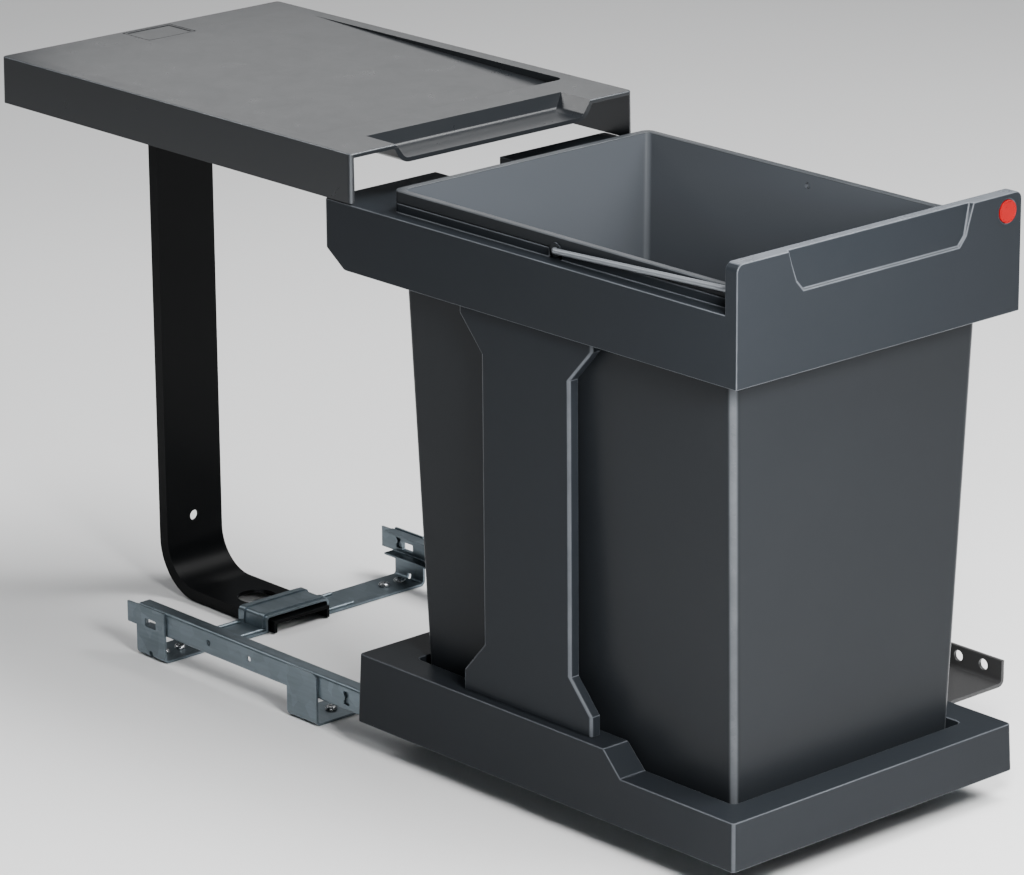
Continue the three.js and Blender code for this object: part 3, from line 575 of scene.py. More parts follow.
def makeBucket():
    s = named(bucketSizes)
    low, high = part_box("bin")
    middle = (low.y + high.y) / 2
    lipFoot = high.z - s.lipHeight
    bx, by = s.base[0] / 2, s.base[1] / 2
    bucket = roundBlock("bucket", *around(middle, bx, by, low.z, lipFoot), s.corner)
    tx, ty = bucketHalf(0, lipFoot, low.z, high.z), bucketHalf(1, lipFoot, low.z, high.z)
    scaleTop(bucket, tx / bx, ty / by)
    pickFaces(bucket, lambda centre, normal: normal.z > 0.9)
    rx, ry = s.rim[0] / 2, s.rim[1] / 2
    pushPicked((0, 0, 0))
    stretchPicked(rx / tx, ry / ty)
    pushPicked((0, 0, s.lipHeight))
    leaveEdit()
    pickLevel(bucket, lambda at: at.z < low.z + hair)
    bevelPicked(s.footEdge, 4)
    cut(bucket, bucketHollow(low, high, middle))
    addEdgeSlots(bucket)
    # the rim's top edge gets the wear and painted highlight line
    pickLevel(bucket, lambda at: at.z > high.z - hair)
    bevelPicked(s.rimEdge, 3, True)
    pivot = high.z - s.pivotDrop
    wallX = bucketHalf(0, pivot, low.z, high.z)
    reach = s.bossReach + s.bossRoot
    for side in (-1, 1):
        at = (side * (wallX - s.bossRoot + reach / 2), middle, pivot)
        weld(bucket, addRod("boss", at, s.boss, reach, "X"))
        cut(bucket, addRod("bore", at, s.wire, 3 * past, "X", 24))
    soften(bucket, s.edges, 3)
    # painted highlight along the rim's top
    paintTopHighlight(bucket, s.rub)
    finishPiece(bucket, "bucket", ["bin"], bucketPlastic)
    bucket.data.materials.append(bucketInsideLit)
    for face in bucket.data.polygons:  # painted light: the hollow gets a paler copy of the plastic, standing in for the light that falls into it
        toMiddle = Vector((-face.center.x, middle - face.center.y, 0))
        inward = face.normal.dot(toMiddle) > 10 * hair or face.normal.z > 0.9
        face.material_index = int(inward and face.center.z < high.z - s.paleDrop)
    return bucket


makeBucket()
print("bucket made")


# top frame with its fascia

frameSizes = {
    "fascia": 0.0107, "cornerRound": 0.0055, "ledgeDrop": 0.0339, "wall": 0.003, "wallRise": 0.0063,
    "wallDepth": 0.030, "hole": (0.2270, 0.3149), "holeCorner": 0.0065, "chamfer": (0.0168, 0.0118),
    "notchHalf": 0.029, "notchDepth": 0.045, "bossHalf": 0.006, "rearCorner": 0.003, "behind": 0.002,
    "gripTop": 0.0845, "gripMid": 0.0775, "gripLow": 0.0715, "gripHeight": 0.0294, "gripCorner": 0.007,
    "gripDepth": 0.0016, "gripLean": 0.0022, "gripOver": 0.004, "gripFlare": 1.01, "gripSlope": (0.972, 0.91),
    "badgeRadius": 0.0079, "badgeSeat": 0.003, "badgeSet": 0.0007, "edges": 0.0008, "rub": 1.5,
}


def frameGripCutter(low, high):
    s = named(frameSizes)
    floor = high.z - s.gripHeight
    knee = floor + s.gripCorner
    over = s.gripOver
    top = high.z + over
    cutter = addBlock("gripCutter", (-s.gripMid, low.y - over, knee), (s.gripMid, low.y + s.gripDepth, top))
    scaleTop(cutter, s.gripTop / s.gripMid * s.gripFlare, 1)
    pickFaces(cutter, facing("z", -1))
    pushPicked((0, 0, floor - knee))
    stretchPicked(s.gripLow / s.gripMid, 1)
    leaveEdit()
    pickFaces(cutter, facing("y"))  # the recess walls slope
    acrossSlope, upSlope = s.gripSlope
    bpy.ops.transform.resize(value=(acrossSlope, 1, upSlope), center_override=(0, low.y, top))
    leaveEdit()
    pickAlong(cutter, "x", lambda at: at.y > low.y and at.z > high.z)  # deeper towards the top
    shiftPicked((0, s.gripLean, 0))
    return cutter


def makeTopFrame():
    s = named(frameSizes)
    low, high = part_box("top_frame")
    half = high.x
    ledge = high.z - s.ledgeDrop
    back = low.y + s.fascia
    rim = addBlock("topFrame", (-half, low.y + s.behind, low.z), (half, high.y, ledge))
    run, rise = s.chamfer
    wedge = addBlock("wedge", (-half - past, high.y - run, low.z - 2 * past),
            (half + past, high.y + run, low.z + 2 * rise))
    pickAlong(wedge, "x", lambda at: at.y < high.y and at.z > low.z)
    shiftPicked((0, 0, -2 * rise))
    cut(rim, wedge)
    pickEdges(rim, lambda at, way: abs(way.z) > 0.5 and at.y > high.y - run)
    bevelPicked(s.rearCorner, 3)
    wall = s.wall
    inside = addBlock("inside", (wall - half, back, low.z - past), (half - wall, high.y - wall, ledge - wall))
    notch, notchFront = s.notchHalf, high.y - s.notchDepth
    cut(inside, addBlock("kept", (-notch - wall, notchFront - wall, low.z - 2 * past),
            (notch + wall, high.y + past, ledge)))
    cut(rim, inside)
    bin0, bin1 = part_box("bin")
    middle = (bin0.y + bin1.y) / 2
    hx, hy = s.hole[0] / 2, s.hole[1] / 2
    top = ledge + s.wallRise
    inner = roundBlock("inner", *around(middle, hx + wall, hy + wall, top - s.wallDepth, top),
            s.holeCorner + s.behind)
    panel = addBlock("panel", (-half, low.y, low.z), (half, back, high.z))
    pickAlong(panel, "y", lambda at: at.z > high.z - hair)
    bevelPicked(s.cornerRound, 5)
    weld(rim, inner)
    cut(rim,
        roundBlock("hole", *around(middle, hx, hy, low.z - past, high.z + past), s.holeCorner),
        addBlock("notch", (-notch, notchFront, low.z - past), (notch, high.y + past, ledge + past)),
        addBlock("bossSeat", *around(middle, hx + 2 * wall, s.bossHalf, ledge, top + past)))
    weld(rim, panel)
    disc0, disc1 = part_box("badge")
    seat = ((disc0.x + disc1.x) / 2, low.y - s.badgeSet, (disc0.z + disc1.z) / 2)
    cut(rim, frameGripCutter(low, high), addRod("badgeSeat", seat, s.badgeRadius, s.badgeSeat, "Y", 48))
    soften(rim, s.edges, 3, clamp=False)
    # painted highlight along the fascia's top
    paintTopHighlight(rim, s.rub)
    return finishPiece(rim, "carriage", ["top_frame"], anthracite)


badgeSizes = {"border": 0.0009, "groove": 0.00025, "step": 0.0004, "crown": 0.0003, "edges": 0.00018}


def makeBadge():
    s = named(badgeSizes)
    low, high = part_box("badge")
    centre = (low + high) / 2
    disc = addRod("badgeDisc", centre, (high.x - low.x) / 2, high.y - low.y, "Y", 64)
    pickFaces(disc, facing("y", -1))
    bpy.ops.mesh.inset(thickness=s.border)
    pushPicked((0, s.groove, 0))
    bpy.ops.mesh.inset(thickness=s.step)
    pushPicked((0, -s.crown, 0))
    leaveEdit()
    soften(disc, s.edges, 3)
    return finishPiece(disc, "carriage", ["badge"], badgeRed)


makeTopFrame()
makeBadge()
print("top frame made")


# uprights

uprightSizes = {
    "neck": 0.0844, "foot": 0.1244, "head": 0.127, "footStraight": 0.0138, "footFlare": 0.0223,
    "neckDrop": 0.0304, "shoulderDrop": 0.0221, "headFlare": 0.0233, "tongue": 0.0036, "tongueInset": 0.008,
    "tongueRoot": 0.003, "chamfer": 0.0021, "border": 0.004, "skin": 0.0045, "hollowFoot": 0.03,
    "hollowHead": 0.02, "ribs": (0.25, 0.5, 0.75), "ribHalf": 0.001, "ribRoot": 0.0015, "ribEnd": 0.002,
    "ribBack": 0.0006, "edges": 0.0005,
}


def makeUpright():
    s = named(uprightSizes)
    low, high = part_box("left_upright")
    frameLow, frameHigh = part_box("top_frame")
    middle = (low.y + high.y) / 2
    neckFoot = low.z + s.footStraight + s.footFlare
    neckHead = frameLow.z - s.neckDrop
    shoulder = high.z - s.shoulderDrop
    neck, border = s.neck / 2, s.border
    plate = addBlock("leftUpright", (low.x, middle - neck, neckFoot), (high.x, middle + neck, neckHead))
    pickFaces(plate, facing("z"))
    pushPicked((0, 0, s.headFlare))
    stretchPicked(1, s.head / s.neck)
    pushPicked((0, 0, shoulder - neckHead - s.headFlare))
    leaveEdit()
    pickFaces(plate, facing("z", -1))
    pushPicked((0, 0, -s.footFlare))
    stretchPicked(1, s.foot / s.neck)
    pushPicked((0, 0, -s.footStraight))
    leaveEdit()
    pickFaces(plate, facing("x"))  # hollow back with a rib-wide border
    bpy.ops.mesh.inset(thickness=border)
    leaveEdit()
    foot = low.z + s.hollowFoot
    cut(plate, addBlock("hollow", (low.x + s.skin, middle - neck + border, foot),
            (high.x + border / 2, middle + neck - border, shoulder - s.hollowHead)))
    ribY, ribHalf = neck - s.ribEnd, s.ribHalf
    for share in s.ribs:
        z = foot + (shoulder - low.z - s.hollowFoot - s.hollowHead) * share
        weld(plate, addBlock("rib", (low.x + s.skin - s.ribRoot, middle - ribY, z - ribHalf),
                (high.x - s.ribBack, middle + ribY, z + ribHalf)))
    half = s.head / 2 - s.tongueInset
    weld(plate, addBlock("tongue", (low.x, middle - half, shoulder - s.tongueRoot),
            (low.x + s.tongue, middle + half, high.z)))
    addEdgeSlots(plate)
    # the front chamfer gets the wear and painted highlight line
    pickEdges(plate, lambda at, way: abs(at.x - low.x) < hair and abs(way.y) < 0.9 and at.z < shoulder)
    bevelPicked(s.chamfer, 3, True)
    soften(plate, s.edges, 2, 30)
    right = mirrored(plate, "rightUpright")
    finishPiece(plate, "carriage", ["left_upright"], anthracite)
    finishPiece(right, "carriage", ["right_upright"], anthracite)


makeUpright()
print("uprights made")


# tray

traySizes = {"wall": 0.003, "draft": 0.0016, "corner": 0.0032, "lowDeck": 0.0534, "stepStart": 0.1053,
    "stepRun": 0.0165, "pocket": (0.2114, 0.3057), "pocketCorner": 0.0045, "notchHalf": 0.030,
    "passTop": 0.0413, "passDepth": 0.008, "slotHalf": 0.0415, "slotFoot": 0.0456, "slotReach": 0.009,
    "stepOver": 0.008, "stepLean": 0.4, "edges": 0.0009}


def trayStepCutter(low, high, drop):
    s = named(traySizes)
    foot = low.y + s.stepStart + drop * s.stepLean
    deck = s.lowDeck - drop
    rise = high.z - drop - deck
    over = s.stepOver
    cutter = addBlock("step", (low.x - past, low.y - past, deck), (high.x + past, foot, high.z - drop + over))
    pickAlong(cutter, "x", lambda at: at.y > foot - hair and at.z > deck + hair)
    shiftPicked((0, s.stepRun * (rise + over) / rise, 0))
    return cutter


def makeTray():
    s = named(traySizes)
    low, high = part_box("tray")
    half, wall = high.x, s.wall
    bin0, bin1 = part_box("bin")
    middle = (bin0.y + bin1.y) / 2
    px, py = s.pocket[0] / 2, s.pocket[1] / 2
    pocketRear = middle + py + wall
    tray = roundBlock("trayShell", low, high, s.corner)
    scaleTop(tray, 1 - s.draft / half, 1 - 2 * s.draft / (high.y - low.y))
    edge = half - wall - s.draft
    inset = wall + s.draft
    cavity = addBlock("cavity", (-edge, low.y + inset, low.z - past / 5),
            (edge, high.y - inset, high.z - wall))
    notch = s.notchHalf
    cut(cavity, trayStepCutter(low, high, wall),
        roundBlock("pocketBlock", *around(middle, px + wall, py + wall, low.z - past, high.z),
            s.pocketCorner + wall),
        addBlock("notchBlock", (-notch - wall, pocketRear - wall, low.z - past),
            (notch + wall, high.y, high.z)))
    cut(tray, trayStepCutter(low, high, 0), cavity)
    pocket = roundBlock("pocket", *around(middle, px, py, low.z + wall, high.z + past), s.pocketCorner)
    cut(tray, pocket,
        addBlock("notch", (-notch, pocketRear, low.z - past), (notch, high.y + past, high.z + past)))
    for side in (-1, 1):
        xs = sorted((side * (px + wall), side * (half - wall - s.draft / 2)))
        cut(tray, addBlock("railPass", (xs[0], high.y - s.passDepth, low.z - past),
                (xs[1], high.y + past, s.passTop)))
    pin0, pin1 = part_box("door_pin")
    pinY = (pin0.y + pin1.y) / 2
    cut(tray, addBlock("slot", (half - s.slotReach, pinY - s.slotHalf, s.slotFoot),
            (half + s.slotReach, pinY + s.slotHalf, s.lowDeck - wall)))
    soften(tray, s.edges, 3, clamp=False)
    return finishPiece(tray, "carriage", ["tray"], trayPlastic)


makeTray()
print("tray made")


# lid

lidSizes = {
    "wall": 0.003, "draft": 0.0005, "corner": 0.0035, "topEdge": 0.0011, "recessHalf": 0.1155,
    "recessFront": 0.057, "recessRear": 0.055, "recessDepth": 0.006, "recessCorner": 0.006, "gripLow": 0.080,
    "gripTop": 0.0883, "gripLength": 0.0317, "gripDepth": 0.0109, "gripSlope": 0.005, "gripFoot": 0.003,
    "over": 0.004, "window": (0.0436, 0.0316), "overlap": 0.0005, "ribs": (-0.075, 0.075), "ribHalf": 0.001,
    "ribDepth": 0.008, "ribReach": 0.02, "edges": 0.0010,
}


def lidGripShape(low, high, grow, top):
    s = named(lidSizes)
    front = low.y - s.over if grow == 0 else low.y
    back = low.y + s.gripLength + grow
    floor = high.z - s.gripDepth - grow
    shape = addBlock("grip", (-s.gripLow - grow, front, floor), (s.gripLow + grow, back, top))
    stretch = (top - floor) / (high.z - floor) * (s.gripTop - s.gripLow)
    scaleTop(shape, (s.gripLow + grow + stretch) / (s.gripLow + grow), 1)
    if grow == 0:
        pickAlong(shape, "x", lambda at: at.z < floor + hair and at.y > back - hair)
        shiftPicked((0, -s.gripSlope, 0))
    pickEdges(shape, lambda at, way: at.z < floor + hair and at.y > low.y + past / 5)
    bevelPicked(s.gripFoot + grow, 4)
    return shape


def makeLid():
    s = named(lidSizes)
    low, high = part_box("lid")
    half, wall = high.x - s.draft, s.wall
    lid = roundBlock("lidShell", low, high, s.corner, 4)
    scaleTop(lid, half / high.x, 1 - s.draft / (high.y - low.y))
    addEdgeSlots(lid)
    # the top edge gets the wear and painted highlight line
    pickLevel(lid, lambda at: at.z > high.z - hair)
    bevelPicked(s.topEdge, 3, True)
    skin = high.z - wall
    cut(lid, addBlock("under", (wall - half, low.y - past, low.z - past), (half - wall, high.y - wall, skin)))
    front, rear = low.y + s.recessFront, high.y - s.recessRear
    panHalf, depth, lap = s.recessHalf, s.recessDepth, s.overlap
    pan = addBlock("pan", (-panHalf - wall, front - wall, skin - depth), (panHalf + wall, rear, skin + lap))
    pickAlong(pan, "x", lambda at: at.y > rear - hair and at.z < skin)
    shiftPicked((0, 0, depth - 0.4 * lap))
    weld(lid, pan, lidGripShape(low, high, wall, skin + 0.8 * lap))
    recess = roundBlock("recess", (-panHalf, front, high.z - depth), (panHalf, rear, high.z + depth),
            s.recessCorner, 4)
    for vertex in recess.data.vertices:  # the floor climbs to the rear edge
        if vertex.co.z < high.z:
            vertex.co.z = high.z - depth * (rear - vertex.co.y) / (rear - front) + 0.1 * lap
    cut(lid, recess, lidGripShape(low, high, 0, high.z + s.over))
    latch0, latch1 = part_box("lid_latch")
    y = (latch0.y + latch1.y) / 2
    wx, wy = s.window[0] / 2, s.window[1] / 2
    cut(lid, addBlock("window", *around(y, wx, wy, skin - s.over / 2, high.z + past)))
    for at in s.ribs:  # stiffening ribs inside the rear half
        weld(lid, addBlock("rib", (at - s.ribHalf, rear - s.ribReach, skin - s.ribDepth),
                (at + s.ribHalf, high.y - wall / 2, skin + lap)))
    soften(lid, s.edges, 3)
    return finishPiece(lid, "base", ["lid"], lidPlastic)


latchSizes = {"thick": 0.0028, "corner": 0.0012, "border": 0.0016, "dish": 0.0004, "pegAt": 0.010,
    "peg": 0.003, "pegRoom": 0.0003, "pegRoot": 0.0004, "edges": 0.00015}


def makeLatch():
    s = named(latchSizes)
    low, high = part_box("lid_latch")
    foot = high.z - s.thick
    plate = roundBlock("lidLatch", (low.x, low.y, foot), high, s.corner, 3)
    pickFaces(plate, facing("z"))
    bpy.ops.mesh.inset(thickness=s.border)
    pushPicked((0, 0, -s.dish))
    leaveEdit()
    middle = (low.y + high.y) / 2
    root = s.pegRoot
    for side in (-1, 1):
        at = (side * s.pegAt, middle, (low.z + foot) / 2 + root / 2)
        weld(plate, addRod("peg", at, s.peg, foot - low.z + root, "Z", 24))
    soften(plate, s.edges)
    return finishPiece(plate, "base", ["lid_latch"], lidPlastic)


makeLid()
makeLatch()
print("lid made")


# lid arm

armSizes = {"web": 0.0024, "depth": 0.009, "bend": 0.032, "holeRadius": 0.004, "holeHeight": 0.0548,
    "footHole": 0.0145, "footHoleSetback": 0.052, "rounding": 0.0019, "latchGap": 0.0012,
    "headInset": 0.0002, "over": 0.004}


def armBar(name, half, near, far, toe, top, footTop, front):
    # a bar down the leg, round the bend and along the foot, between two depths behind its front face
    s = named(armSizes)
    bar = addBlock(name, (-half, front + near, footTop + s.bend), (half, front + far, top))
    pickFaces(bar, facing("z", -1))
    spinPicked(14, (0, front - s.bend, footTop + s.bend), (1, 0, 0))
    pushPicked((0, toe - (front - s.bend), 0))
    leaveEdit()
    return bar


def makeArm():
    s = named(armSizes)
    low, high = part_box("lid_arm")
    headRear, toe, half = high.y, low.y, high.x
    latch0, latch1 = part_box("lid_latch")
    front = latch0.y - s.depth - s.latchGap
    footTop = low.z + s.depth
    web, inset = s.web, s.headInset
    arm = armBar("lidArm", half, 0, s.depth, toe, high.z - inset / 2, footTop, front)
    weld(arm, addBlock("head", (inset - half, front + web, high.z - web - inset),
            (half - inset, headRear, high.z)))
    cut(arm, armBar("hollow", half - web, web, s.depth + s.over, toe - web, high.z - web, footTop, front))
    holeY = toe + s.footHoleSetback
    cut(arm,
        addRod("legHole", (0, front, s.holeHeight), s.holeRadius, 3 * past, "Y", 40),
        addRod("footHole", (0, holeY, footTop), s.footHole, 2 * past, "Z", 64))
    pegHole = latchSizes["peg"] + latchSizes["pegRoom"]
    for side in (-1, 1):
        at = (side * latchSizes["pegAt"], (latch0.y + latch1.y) / 2, high.z)
        cut(arm, addRod("pegHole", at, pegHole, 2 * past, "Z", 24))
    soften(arm, s.rounding, 4)
    return finishPiece(arm, "base", ["lid_arm"], blackSteel)


makeArm()
print("arm made")


# folded sheet members, rails and bracket

sheetSizes = {"sheet": 0.0018, "bend": 0.0022, "window": (0.0126, 0.0064), "windowRise": 0.0265,
    "chamfer": (0.011, 0.0055), "beadLength": 0.026, "beadRadius": 0.0018, "beadRise": 0.0019,
    "beadInset": 0.0032, "beadLap": 0.0005, "frontBead": (0.012, 0.062), "clipGap": 0.002, "slotReach": 0.006,
    "slotCorner": 0.0009, "hole": 0.0025, "hump": 0.0036, "humpInside": 0.002,
    "nick": (0.003, 0.0018), "nickTop": 0.0055, "edges": 0.0004}


def foldedBlock(name, low, high, bend, open=("top",)):
    # a block whose long folds are rounded; the open sides stay square
    low, high = Vector(low), Vector(high)
    block = addBlock(name, low, high)
    square = {"top": lambda at: at.z > high.z - hair, "bottom": lambda at: at.z < low.z + hair,
            "left": lambda at: at.x < low.x + hair, "right": lambda at: at.x > high.x - hair}
    pickAlong(block, "y", lambda at: not any(square[side](at) for side in open))
    bevelPicked(bend, 4)
    return block


def strapWithPlates(name, low, high):
    s = named(sheetSizes)
    t = s.sheet
    strap = foldedBlock(name, low, high, s.bend + t)
    return cut(strap, foldedBlock("inside", (low.x + t, low.y - past, low.z + t),
            (high.x - t, high.y + past, high.z + past), s.bend))


def plateWindow(x, y):
    s = named(sheetSizes)
    w, h = s.window[0] / 2, s.window[1] / 2
    return sideSlot(x, y, s.windowRise, w, h)


def sideSlot(x, y, z, halfY, halfZ):  # cuts a window with small round corners through an upright web
    s = named(sheetSizes)
    reach = s.slotReach
    low, high = (x - reach, y - halfY, z - halfZ), (x + reach, y + halfY, z + halfZ)
    return roundBlock("slot", low, high, s.slotCorner, 3, "x")


def drillHoles(member, places):
    for x, y in places:
        cut(member, addRod("hole", (x, y, 0), sheetSizes["hole"], 2 * past, "Z", 24))


def makeFrontMember():
    s = named(sheetSizes)
    low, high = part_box("front_cross_member")
    member = strapWithPlates("frontMember", low, high)
    run, rise = s.chamfer
    wedge = addBlock("wedge", (low.x - past, low.y - run, high.z - rise),
            (high.x + past, low.y + run, high.z + rise))
    pickAlong(wedge, "x", lambda at: at.y > low.y and at.z < high.z)
    shiftPicked((0, 0, 2 * rise))
    pickAlong(wedge, "x", lambda at: at.y < low.y and at.z < high.z)
    shiftPicked((0, 0, -rise))
    cut(member, wedge)
    drillHoles(member, screwPlaces("front"))
    for side in (-1, 1):
        weld(member, stiffBead(*(side * x for x in s.frontBead), 0))
    soften(member, s.edges)
    return finishPiece(member, "base", ["front_cross_member"], galvanised)


def stiffBead(x0, x1, y):  # a pressed bead along the strap
    s = named(sheetSizes)
    centre = ((x0 + x1) / 2, y, s.sheet + s.beadRise - s.beadRadius)
    return addRod("bead", centre, s.beadRadius, abs(x1 - x0), "X", 28)


def screwPlaces(member):
    numbers = (1, 2) if member == "front" else (3, 4, 5, 6)
    boxes = [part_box(f"floor_screw_{i}") for i in numbers]
    return [((a.x + b.x) / 2, (a.y + b.y) / 2) for a, b in boxes]


def makeRearMember():
    s = named(sheetSizes)
    t = s.sheet
    low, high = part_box("rear_cross_member")
    arm0, arm1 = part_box("lid_arm")
    clipHalf = arm1.x + s.clipGap
    clipTop = armSizes["depth"] + arm0.z + s.clipGap
    member = strapWithPlates("rearMember", low, high)
    y = (low.y + high.y) / 2
    start = clipHalf + t - s.beadLap
    for side in (-1, 1):
        for at in (low.y + s.beadInset, high.y - s.beadInset):
            weld(member, stiffBead(side * start, side * (start + s.beadLength), at))
    weld(member, foldedBlock("hump", (-clipHalf - t, low.y, low.z), (clipHalf + t, high.y, clipTop + t),
            s.hump, ("bottom",)))
    cut(member, foldedBlock("under", (-clipHalf, low.y - past, low.z - past),
            (clipHalf, high.y + past, clipTop), s.humpInside, ("bottom",)))
    for offset in clipSizes["ribs"]:
        weld(member, clipRib(y + offset, clipHalf + t, clipTop + t))
    for side in (-1, 1):
        x = side * high.x
        nickX, nickY = s.nick
        nick = addBlock("nick", (x - nickX, y - nickY, -past / 10), (x + nickX, y + nickY, s.nickTop))
        cut(member, plateWindow(x, y), nick)
    drillHoles(member, screwPlaces("rear"))
    soften(member, s.edges)
    return finishPiece(member, "base", ["rear_cross_member"], galvanised)


clipSizes = {"ribs": (-0.0108, 0.0108), "ribHalf": 0.0024, "proud": 0.0011, "foot": 0.0008, "skin": 0.0009,
    "bend": 0.0045, "inside": 0.0034}


def clipRib(y, half, top):  # one pressed rib, up one side of the clip, over it and down the other
    s = named(clipSizes)
    proud, ribHalf, skin = s.proud, s.ribHalf, s.skin
    rib = addBlock("rib", *around(y, half + proud, ribHalf, s.foot, top + proud))
    pickAlong(rib, "y", lambda at: at.z > top)
    bevelPicked(s.bend, 5)
    core = addBlock("core", *around(y, half - skin, past, -past, top - skin))
    pickAlong(core, "y", lambda at: at.z > top - 2 * skin)
    bevelPicked(s.inside, 5)
    return cut(rib, core)


railSizes = {
    "outer_rail": {"sheet": 0.0014, "bend": 0.0018, "edges": 0.00035},
    "middle_rail": {"sheet": 0.0012, "bend": 0.0014, "edges": 0.0003},
    "inner_rail": {"sheet": 0.0012, "bend": 0.0010, "edges": 0.0003},
}
railTail = {"length": 0.013, "trim": 0.0016}
railHoles = {"web": (-0.062, 0.060, 0.105), "radius": 0.0022, "slot": (0.008, 0.0025), "slotInset": 0.03}
hourglass = {"places": (-0.0460, 0.1785), "width": 0.0060, "height": 0.0098, "bump": 0.0021,
    "bumpOut": 0.0007, "reach": 0.004}


def makeRail(kind, webLeft):
    s = named(railSizes[kind])
    low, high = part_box(f"left_{kind}")
    t = s.sheet
    openSide = ("right",) if webLeft else ("left",)
    rail = foldedBlock(f"left{kind.title().replace('_', '')}", low, high, s.bend + t / 2, openSide)
    x0, x1 = (low.x + t, high.x + past) if webLeft else (low.x - past, high.x - t)
    cut(rail, foldedBlock("groove", (x0, low.y - past, low.z + t), (x1, high.y + past, high.z - t),
            s.bend / 2, openSide))
    return rail, low, high


def hourglassCutter(x, y, z):
    s = named(hourglass)
    w, h, reach = s.width / 2, s.height / 2, s.reach
    cutter = addBlock("slot", (x - reach, y - w, z - h), (x + reach, y + w, z + h))
    for side in (-1, 1):
        cut(cutter, addRod("bump", (x, y + side * (w + s.bumpOut), z), s.bump, 2 * past, "X"))
    return cutter


def makeRails():
    outer, low, high = makeRail("outer_rail", True)
    rear0, rear1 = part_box("rear_cross_member")
    mid = (low.z + high.z) / 2
    cut(outer, plateWindow(low.x, (rear0.y + rear1.y) / 2),
        *(hourglassCutter(low.x, y, mid) for y in hourglass["places"]))
    tail = high.y - railTail["length"]
    for z0, z1 in ((low.z - past, low.z + railTail["trim"]), (high.z - railTail["trim"], high.z + past)):
        cut(outer, addBlock("tail", (low.x - past, tail, z0), (high.x + past, high.y + past, z1)))
    for y in railHoles["web"]:  # fixing holes along the web
        cut(outer, addRod("hole", (low.x, y, mid), railHoles["radius"], past, "X", 24))
    soften(outer, railSizes["outer_rail"]["edges"])
    middle, low, high = makeRail("middle_rail", True)
    inset = railHoles["slotInset"]
    for y in (high.y - inset, low.y + inset, (low.y + high.y) / 2):
        cut(middle, sideSlot(low.x, y, mid, *railHoles["slot"]))
    soften(middle, railSizes["middle_rail"]["edges"])
    inner, low, high = makeRail("inner_rail", False)
    for name in ("left_rail_screw_1", "left_rail_screw_2"):
        a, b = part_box(name)
        cut(inner, addRod("hole", (high.x, (a.y + b.y) / 2, mid), sheetSizes["hole"], 2 * past, "X", 24))
    soften(inner, railSizes["inner_rail"]["edges"])
    bodies = {"outer_rail": "base", "middle_rail": None, "inner_rail": "carriage"}
    for kind, left in (("outer_rail", outer), ("middle_rail", middle), ("inner_rail", inner)):
        right = mirrored(left, left.name.replace("left", "right"))
        for side, obj in (("left", left), ("right", right)):
            body = bodies[kind] or f"{side}_middle"
            finishPiece(obj, body, [f"{side}_{kind}"], galvanised)


bracketSizes = {"sheet": 0.0025, "bend": 0.0024, "hole": 0.004, "holeFront": 0.017, "holeSpacing": 0.023,
    "holeHeight": 0.0115, "endRadius": 0.008, "underTray": 0.004, "overlap": 0.0005, "pivot": 0.0033,
    "edges": 0.00045}


def makeDoorBracket():
    s = named(bracketSizes)
    t = s.sheet
    low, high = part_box("door_bracket")
    tray0, tray1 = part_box("tray")
    pin0, pin1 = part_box("door_pin")
    pin = (pin0 + pin1) / 2
    edge = tray1.x - s.underTray
    bracket = foldedBlock("doorBracket", (edge, low.y, low.z), high, s.bend + t, ("top", "left"))
    cut(bracket, foldedBlock("inside", (edge - past, low.y - past, low.z + t),
            (high.x - t, high.y + past, high.z + past), s.bend, ("top", "left")))
    tongue = addBlock("tongue", (pin.x, low.y, low.z), (edge + s.overlap, high.y, low.z + t))
    pickFaces(tongue, facing("x", -1))
    stretchPicked(1, 2 * s.endRadius / (high.y - low.y))
    leaveEdit()
    weld(bracket, tongue, addRod("end", (pin.x, pin.y, low.z + t / 2), s.endRadius, t, "Z", 48))
    cut(bracket, addRod("pivot", (pin.x, pin.y, low.z), s.pivot, 2 * past))
    for y in (low.y + s.holeFront, low.y + s.holeFront + s.holeSpacing):
        cut(bracket, addRod("hole", (high.x, y, low.z + s.holeHeight), s.hole, 2 * past, "X", 40))
    soften(bracket, s.edges, 3)
    return finishPiece(bracket, "door_link", ["door_bracket"], bracketCoat)


makeFrontMember()
makeRearMember()
makeRails()
makeDoorBracket()
print("steel parts made")


# bail handle

bailSizes = {"radius": 0.002, "turn": 0.007, "pinTurn": 0.0032, "pin": 0.0074, "sides": 20, "edges": 0.0004}


